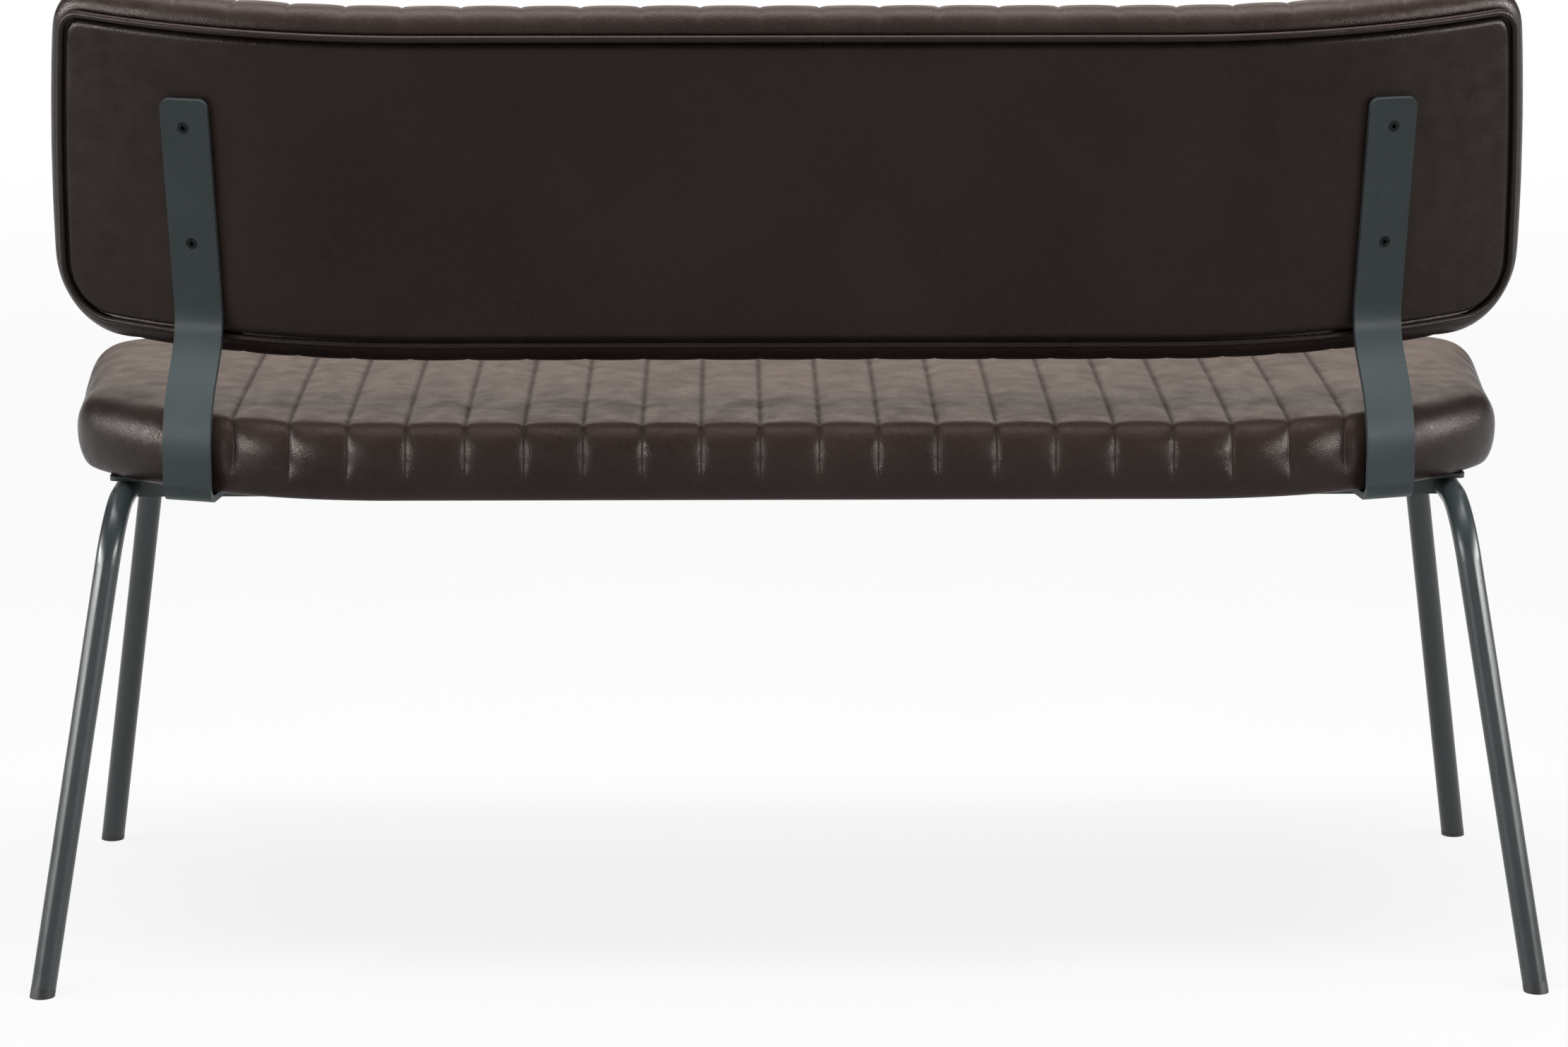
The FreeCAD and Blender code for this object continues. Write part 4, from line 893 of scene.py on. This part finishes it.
class BENCH_OT_back(bpy.types.Operator):
    """Make the quilted backrest cushion"""

    bl_idname = "bench.back"
    bl_label = "Backrest Cushion"
    bl_options = {"REGISTER", "UNDO"}

    def execute(self, context):
        s = setting("bench_back")
        q = setting("bench_quilt")
        stations = seam_stations(s.seams, q.pitch)
        plan = BackPlan(s, stations[-1])
        form = PaddedForm(plan, stations, s.rows, s.end_columns, plan.place)
        ring = form.add_grid(s.roll, crowned(s.front, s.crown), "face", True)
        for turn in quarter(FRONT_RINGS, math.pi / 2, 0.0):
            inset = s.roll * (1 - math.cos(turn))
            ring = form.add_ring(ring, inset, lerp(s.crest, s.front, math.sin(turn)), "roll")
        for turn in quarter(REAR_RINGS, 0.0, math.pi / 2):
            inset = s.tuck * (1 - math.cos(turn))
            ring = form.add_ring(ring, inset, lerp(s.crest, s.flange, math.sin(turn)), "rear")
        for inset, depth in (
            (s.panel_inset, s.panel_thick),
            (s.panel_inset + s.panel_edge, s.panel_thick),
            (s.board_inset, s.panel_thick),
            (s.board_inset, s.board_front),
        ):
            ring = form.add_ring(ring, inset, depth, "hidden")
        inner = form.add_grid(s.roll, lambda u, v: s.board_front, "hidden", False)
        form.join(ring, inner)
        obj = form.build("back_cushion")
        face_hold, roll_hold = 0.8, 0.32
        roll_round = 0.3
        flange_hold = 0.006

        def reach(depth, mark):
            if mark == "hidden":
                return 0.0, 0.0
            if mark == "rear":
                return max(0.0, roll_hold * (depth - s.flange) / (s.crest - s.flange)), roll_round
            if mark == "roll":
                rise = (depth - s.crest) / (s.front - s.crest)
                return lerp(roll_hold, face_hold, rise ** 2), roll_round * (1 - rise)
            return face_hold, 0.0

        def held(along, depth, mark):
            if mark == "hidden" or depth < s.flange + flange_hold:
                return True
            return seam_gap(along, s.seams, q.pitch)[1] < SEAM_HOLD and depth > s.crest

        quilt(obj, form, s.seams, q, reach)
        settle(obj, form, q, held)
        subdivide(obj, 1)
        wear(obj, leather("back_leather", setting("bench_colours").leather, COVER_GLOSS, sewn=True))
        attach(obj, "root")
        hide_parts("back_cover", "back_foam")
        return {"FINISHED"}


class BENCH_OT_panel(bpy.types.Operator):
    """Make the plain padded panel on the rear of the backrest"""

    bl_idname = "bench.panel"
    bl_label = "Rear Panel"
    bl_options = {"REGISTER", "UNDO"}

    def execute(self, context):
        s = setting("bench_back")
        q = setting("bench_quilt")
        stations = plain_stations(q.pitch * (s.seams - 1) / 2, PANEL_COLUMNS)
        plan = BackPlan(s, stations[-1])
        form = PaddedForm(plan, stations, s.rows, s.end_columns, plan.place)
        face = s.panel_inset + s.panel_edge
        ring = form.add_grid(face, lambda u, v: 0.0, "face", False)
        for turn in quarter(PANEL_RINGS, math.pi / 2, 0.0):
            inset = face - s.panel_edge * math.cos(turn)
            ring = form.add_ring(ring, inset, s.panel_edge * (1 - math.sin(turn)), "edge")
        ring = form.add_ring(ring, s.panel_inset, s.panel_thick, "hidden")
        inner = form.add_grid(face, lambda u, v: s.panel_thick, "hidden", True)
        form.join(ring, inner)
        obj = form.build("rear_panel")
        subdivide(obj, 1)
        wear(obj, leather("panel_leather", setting("bench_colours").leather, PANEL_GLOSS, sewn=False))
        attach(obj, "root")
        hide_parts("back_panel")
        return {"FINISHED"}


class BENCH_OT_piping(bpy.types.Operator):
    """Make the welt round the rear panel"""

    bl_idname = "bench.piping"
    bl_label = "Welt"
    bl_options = {"REGISTER", "UNDO"}

    def execute(self, context):
        s = setting("bench_back")
        q = setting("bench_quilt")
        stations = plain_stations(q.pitch * (s.seams - 1) / 2, PANEL_COLUMNS)
        plan = BackPlan(s, stations[-1])
        rows, ends = WELT_FINENESS * s.rows, WELT_FINENESS * s.end_columns
        form = PaddedForm(plan, stations, rows, ends, plan.place)
        points = [plan.place(p.x, p.y, s.piping_depth) for p in form.loop(s.piping_inset)]
        data = bpy.data.curves.new("welt", "CURVE")
        data.dimensions = "3D"
        spline = data.splines.new("POLY")
        spline.points.add(len(points) - 1)
        for item, point in zip(spline.points, points):
            item.co = (*point, 1.0)
        spline.use_cyclic_u = True
        data.bevel_depth = s.piping / 2
        data.bevel_resolution = WELT_ROUNDNESS
        obj = bpy.data.objects.new("welt", data)
        bpy.context.scene.collection.objects.link(obj)
        select_only(obj)
        bpy.ops.object.convert(target="MESH")
        obj = bpy.context.view_layer.objects.active
        bpy.ops.object.shade_smooth()
        # Painted shade: the welt is the cover's own leather painted darker, so that it reads as lying in
        # shade between roll and panel.
        tint = shade(setting("bench_colours").leather, 0.8)
        wear(obj, leather("welt_leather", tint, COVER_GLOSS, sewn=False))
        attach(obj, "root")
        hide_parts("back_piping")
        return {"FINISHED"}


class BENCH_OT_lining(bpy.types.Operator):
    """Make the black cloth under the seat"""

    bl_idname = "bench.lining"
    bl_label = "Seat Lining"
    bl_options = {"REGISTER", "UNDO"}

    def execute(self, context):
        s = setting("bench_seat")
        q = setting("bench_quilt")
        low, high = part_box("seat_lining")
        inset = s.rear - high[1]
        stations = plain_stations(q.pitch * (s.seams - 1) / 2, LINING_COLUMNS)
        form = PaddedForm(SeatPlan(s, stations[-1]), stations, LINING_ROWS, s.end_columns, upright)
        top_gap, under_gap, hem = 0.0001, 0.0003, 0.0005
        top = high[2] - top_gap
        under = low[2] + under_gap
        ring = form.add_grid(inset + hem, lambda u, v: top, "face", True)
        ring = form.add_ring(ring, inset, lerp(top, under, 0.5), "edge")
        inner = form.add_grid(inset + hem, lambda u, v: under, "face", False)
        form.join(ring, inner)
        obj = form.build("lining_cloth")
        outline = form.loop(inset)
        wear(obj, woven("lining_cloth", setting("bench_colours").lining))
        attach(obj, "root")
        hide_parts("seat_lining")
        return {"FINISHED"}


class BENCH_OT_fittings(bpy.types.Operator):
    """Give the steel, the feet, the boards and the fasteners their finishes"""

    bl_idname = "bench.fittings"
    bl_label = "Frame and Fittings"
    bl_options = {"REGISTER", "UNDO"}

    def execute(self, context):
        tints = setting("bench_colours")
        dress(powder_coat("frame_steel", tints.steel, FRAME_GLOSS),
              "left_side_frame", "right_side_frame", "front_rail", "rear_rail", "mount_plates")
        dress(powder_coat("strap_steel", tints.strap, STRAP_GLOSS), "left_strap", "right_strap")
        dress(plastic("foot_plastic", tints.plastic),
              "left_rear_cap", "right_rear_cap", "left_front_cap", "right_front_cap")
        dress(bare_metal("black_screw", tints.screw, smooth=0.38, rough=0.55),
              "seat_bolts", "strap_seat_bolts", "strap_back_screws")
        dress(bare_metal("zinc", tints.zinc, smooth=0.28, rough=0.45),
              "seat_tnuts", "strap_seat_tnuts", "back_tnuts")
        dress(plywood("plywood", tints.board), "seat_board", "back_board")
        return {"FINISHED"}


def area_light(name, place, aim, size, power, tint, use):
    """A soft rectangular lamp that looks at a point."""
    data = bpy.data.lights.new(name, "AREA")
    data.shape = "RECTANGLE"
    data.size, data.size_y = size
    data.energy = power
    data.color = tint
    obj = bpy.data.objects.new(name, data)
    obj.location = place
    obj.rotation_euler = (Vector(aim) - Vector(place)).to_track_quat("-Z", "Y").to_euler()
    obj.visible_diffuse = use != "shine"
    obj.visible_glossy = use != "light"
    bpy.context.scene.collection.objects.link(obj)


class BENCH_OT_stage(bpy.types.Operator):
    """Set the floor, the light and the camera"""

    bl_idname = "bench.stage"
    bl_label = "Stage"
    bl_options = {"REGISTER", "UNDO"}

    def execute(self, context):
        s = setting("bench_stage")
        scene = context.scene
        bpy.ops.object.select_all(action="DESELECT")
        bpy.ops.mesh.primitive_plane_add(size=s.floor, location=(0, 0, 0))
        floor = context.view_layer.objects.active
        floor.name = "floor"
        wear(floor, self.floor_finish())
        self.backdrop(scene)
        for name, values in LAMPS.items():
            area_light(name, *values)
        camera = bpy.data.cameras.new("camera")
        camera.sensor_width = s.sensor
        camera.lens = s.lens
        camera.clip_end = 3 * s.floor
        view = bpy.data.objects.new("camera", camera)
        view.location = (s.camera_x, s.camera_y, s.camera_z)
        view.rotation_euler = Euler((math.pi / 2 - s.pitch, 0.0, math.pi - s.yaw))
        scene.collection.objects.link(view)
        scene.camera = view
        scene.view_settings.view_transform = "Standard"
        return {"FINISHED"}

    def floor_finish(self):
        """Pale floor that keeps the bench's shadow and grows white away from it."""
        s = Shader("floor")
        nodes, links = s.nodes, s.links
        s.wire(Base_Color=s.mix(s.noise(scale=3.0), (0.48, 0.48, 0.48), (0.52, 0.52, 0.52)))
        s.fix(Roughness=0.9)
        glow = s.add("ShaderNodeEmission", Color=(1.0, 1.0, 1.0, 1.0), Strength=1.0)
        path = s.add("ShaderNodeLightPath")
        mirror = s.add("ShaderNodeMath", operation="MAXIMUM")
        links.new(path.outputs["Is Camera Ray"], mirror.inputs[0])
        links.new(path.outputs["Is Glossy Ray"], mirror.inputs[1])
        clear = s.add("ShaderNodeMath", operation="MAXIMUM")
        links.new(mirror.outputs["Value"], clear.inputs[0])
        links.new(path.outputs["Is Transmission Ray"], clear.inputs[1])
        part = s.add("ShaderNodeMath", operation="MULTIPLY")
        away = s.add("ShaderNodeVectorMath", operation="LENGTH")
        links.new(s.coords, away.inputs[0])
        white = s.spread(away.outputs["Value"], low=0.86, high=1.0, source=(1.2, 5.0))
        links.new(white, part.inputs[1])
        links.new(clear.outputs["Value"], part.inputs[0])
        blend = s.add("ShaderNodeMixShader")
        links.new(part.outputs["Value"], blend.inputs["Fac"])
        links.new(s.surface.outputs["BSDF"], blend.inputs[1])
        links.new(glow.outputs["Emission"], blend.inputs[2])
        links.new(blend.outputs["Shader"], nodes["Material Output"].inputs["Surface"])
        return s.material

    def backdrop(self, scene):
        """An even, dim room, so that the lamps model the rolls."""
        world = bpy.data.worlds.new("studio")
        world.use_nodes = True
        scene.world = world
        room = world.node_tree.nodes["Background"]
        room.inputs["Color"].default_value = (1.0, 1.0, 1.0, 1.0)
        room.inputs["Strength"].default_value = setting("bench_stage").room


class BENCH_PT_panel(bpy.types.Panel):
    """The bench's steps and sizes in the sidebar"""

    bl_idname = "BENCH_PT_panel"
    bl_label = "Dining Bench"
    bl_space_type = "VIEW_3D"
    bl_region_type = "UI"
    bl_category = "Bench"

    def draw(self, context):
        layout = self.layout
        for step in STEPS:
            layout.operator(step.bl_idname)
        for name, group in GROUPS.items():
            box = layout.box()
            box.label(text=group.__name__)
            for key in group.__annotations__:
                box.prop(getattr(context.scene, name), key)


GROUPS = {
    "bench_seat": SeatSizes,
    "bench_back": BackSizes,
    "bench_quilt": QuiltSizes,
    "bench_colours": BenchColours,
    "bench_stage": StageSizes,
}
STEPS = (
    BENCH_OT_seat,
    BENCH_OT_back,
    BENCH_OT_panel,
    BENCH_OT_piping,
    BENCH_OT_lining,
    BENCH_OT_fittings,
    BENCH_OT_stage,
)


def register():
    """Registers the add-on's classes and the scene's property groups."""
    for group in GROUPS.values():
        bpy.utils.register_class(group)
    for step in STEPS:
        bpy.utils.register_class(step)
    bpy.utils.register_class(BENCH_PT_panel)
    for name, group in GROUPS.items():
        setattr(bpy.types.Scene, name, bpy.props.PointerProperty(type=group))


def unregister():
    """Takes the add-on's classes and property groups out again."""
    for name in GROUPS:
        delattr(bpy.types.Scene, name)
    bpy.utils.unregister_class(BENCH_PT_panel)
    for step in reversed(STEPS):
        bpy.utils.unregister_class(step)
    for group in reversed(list(GROUPS.values())):
        bpy.utils.unregister_class(group)


def main():
    """Dresses the bench step by step."""
    register()
    bpy.ops.bench.seat()
    bpy.ops.bench.back()
    bpy.ops.bench.panel()
    bpy.ops.bench.piping()
    bpy.ops.bench.lining()
    bpy.ops.bench.fittings()
    bpy.ops.bench.stage()


if __name__ == "__main__":
    main()
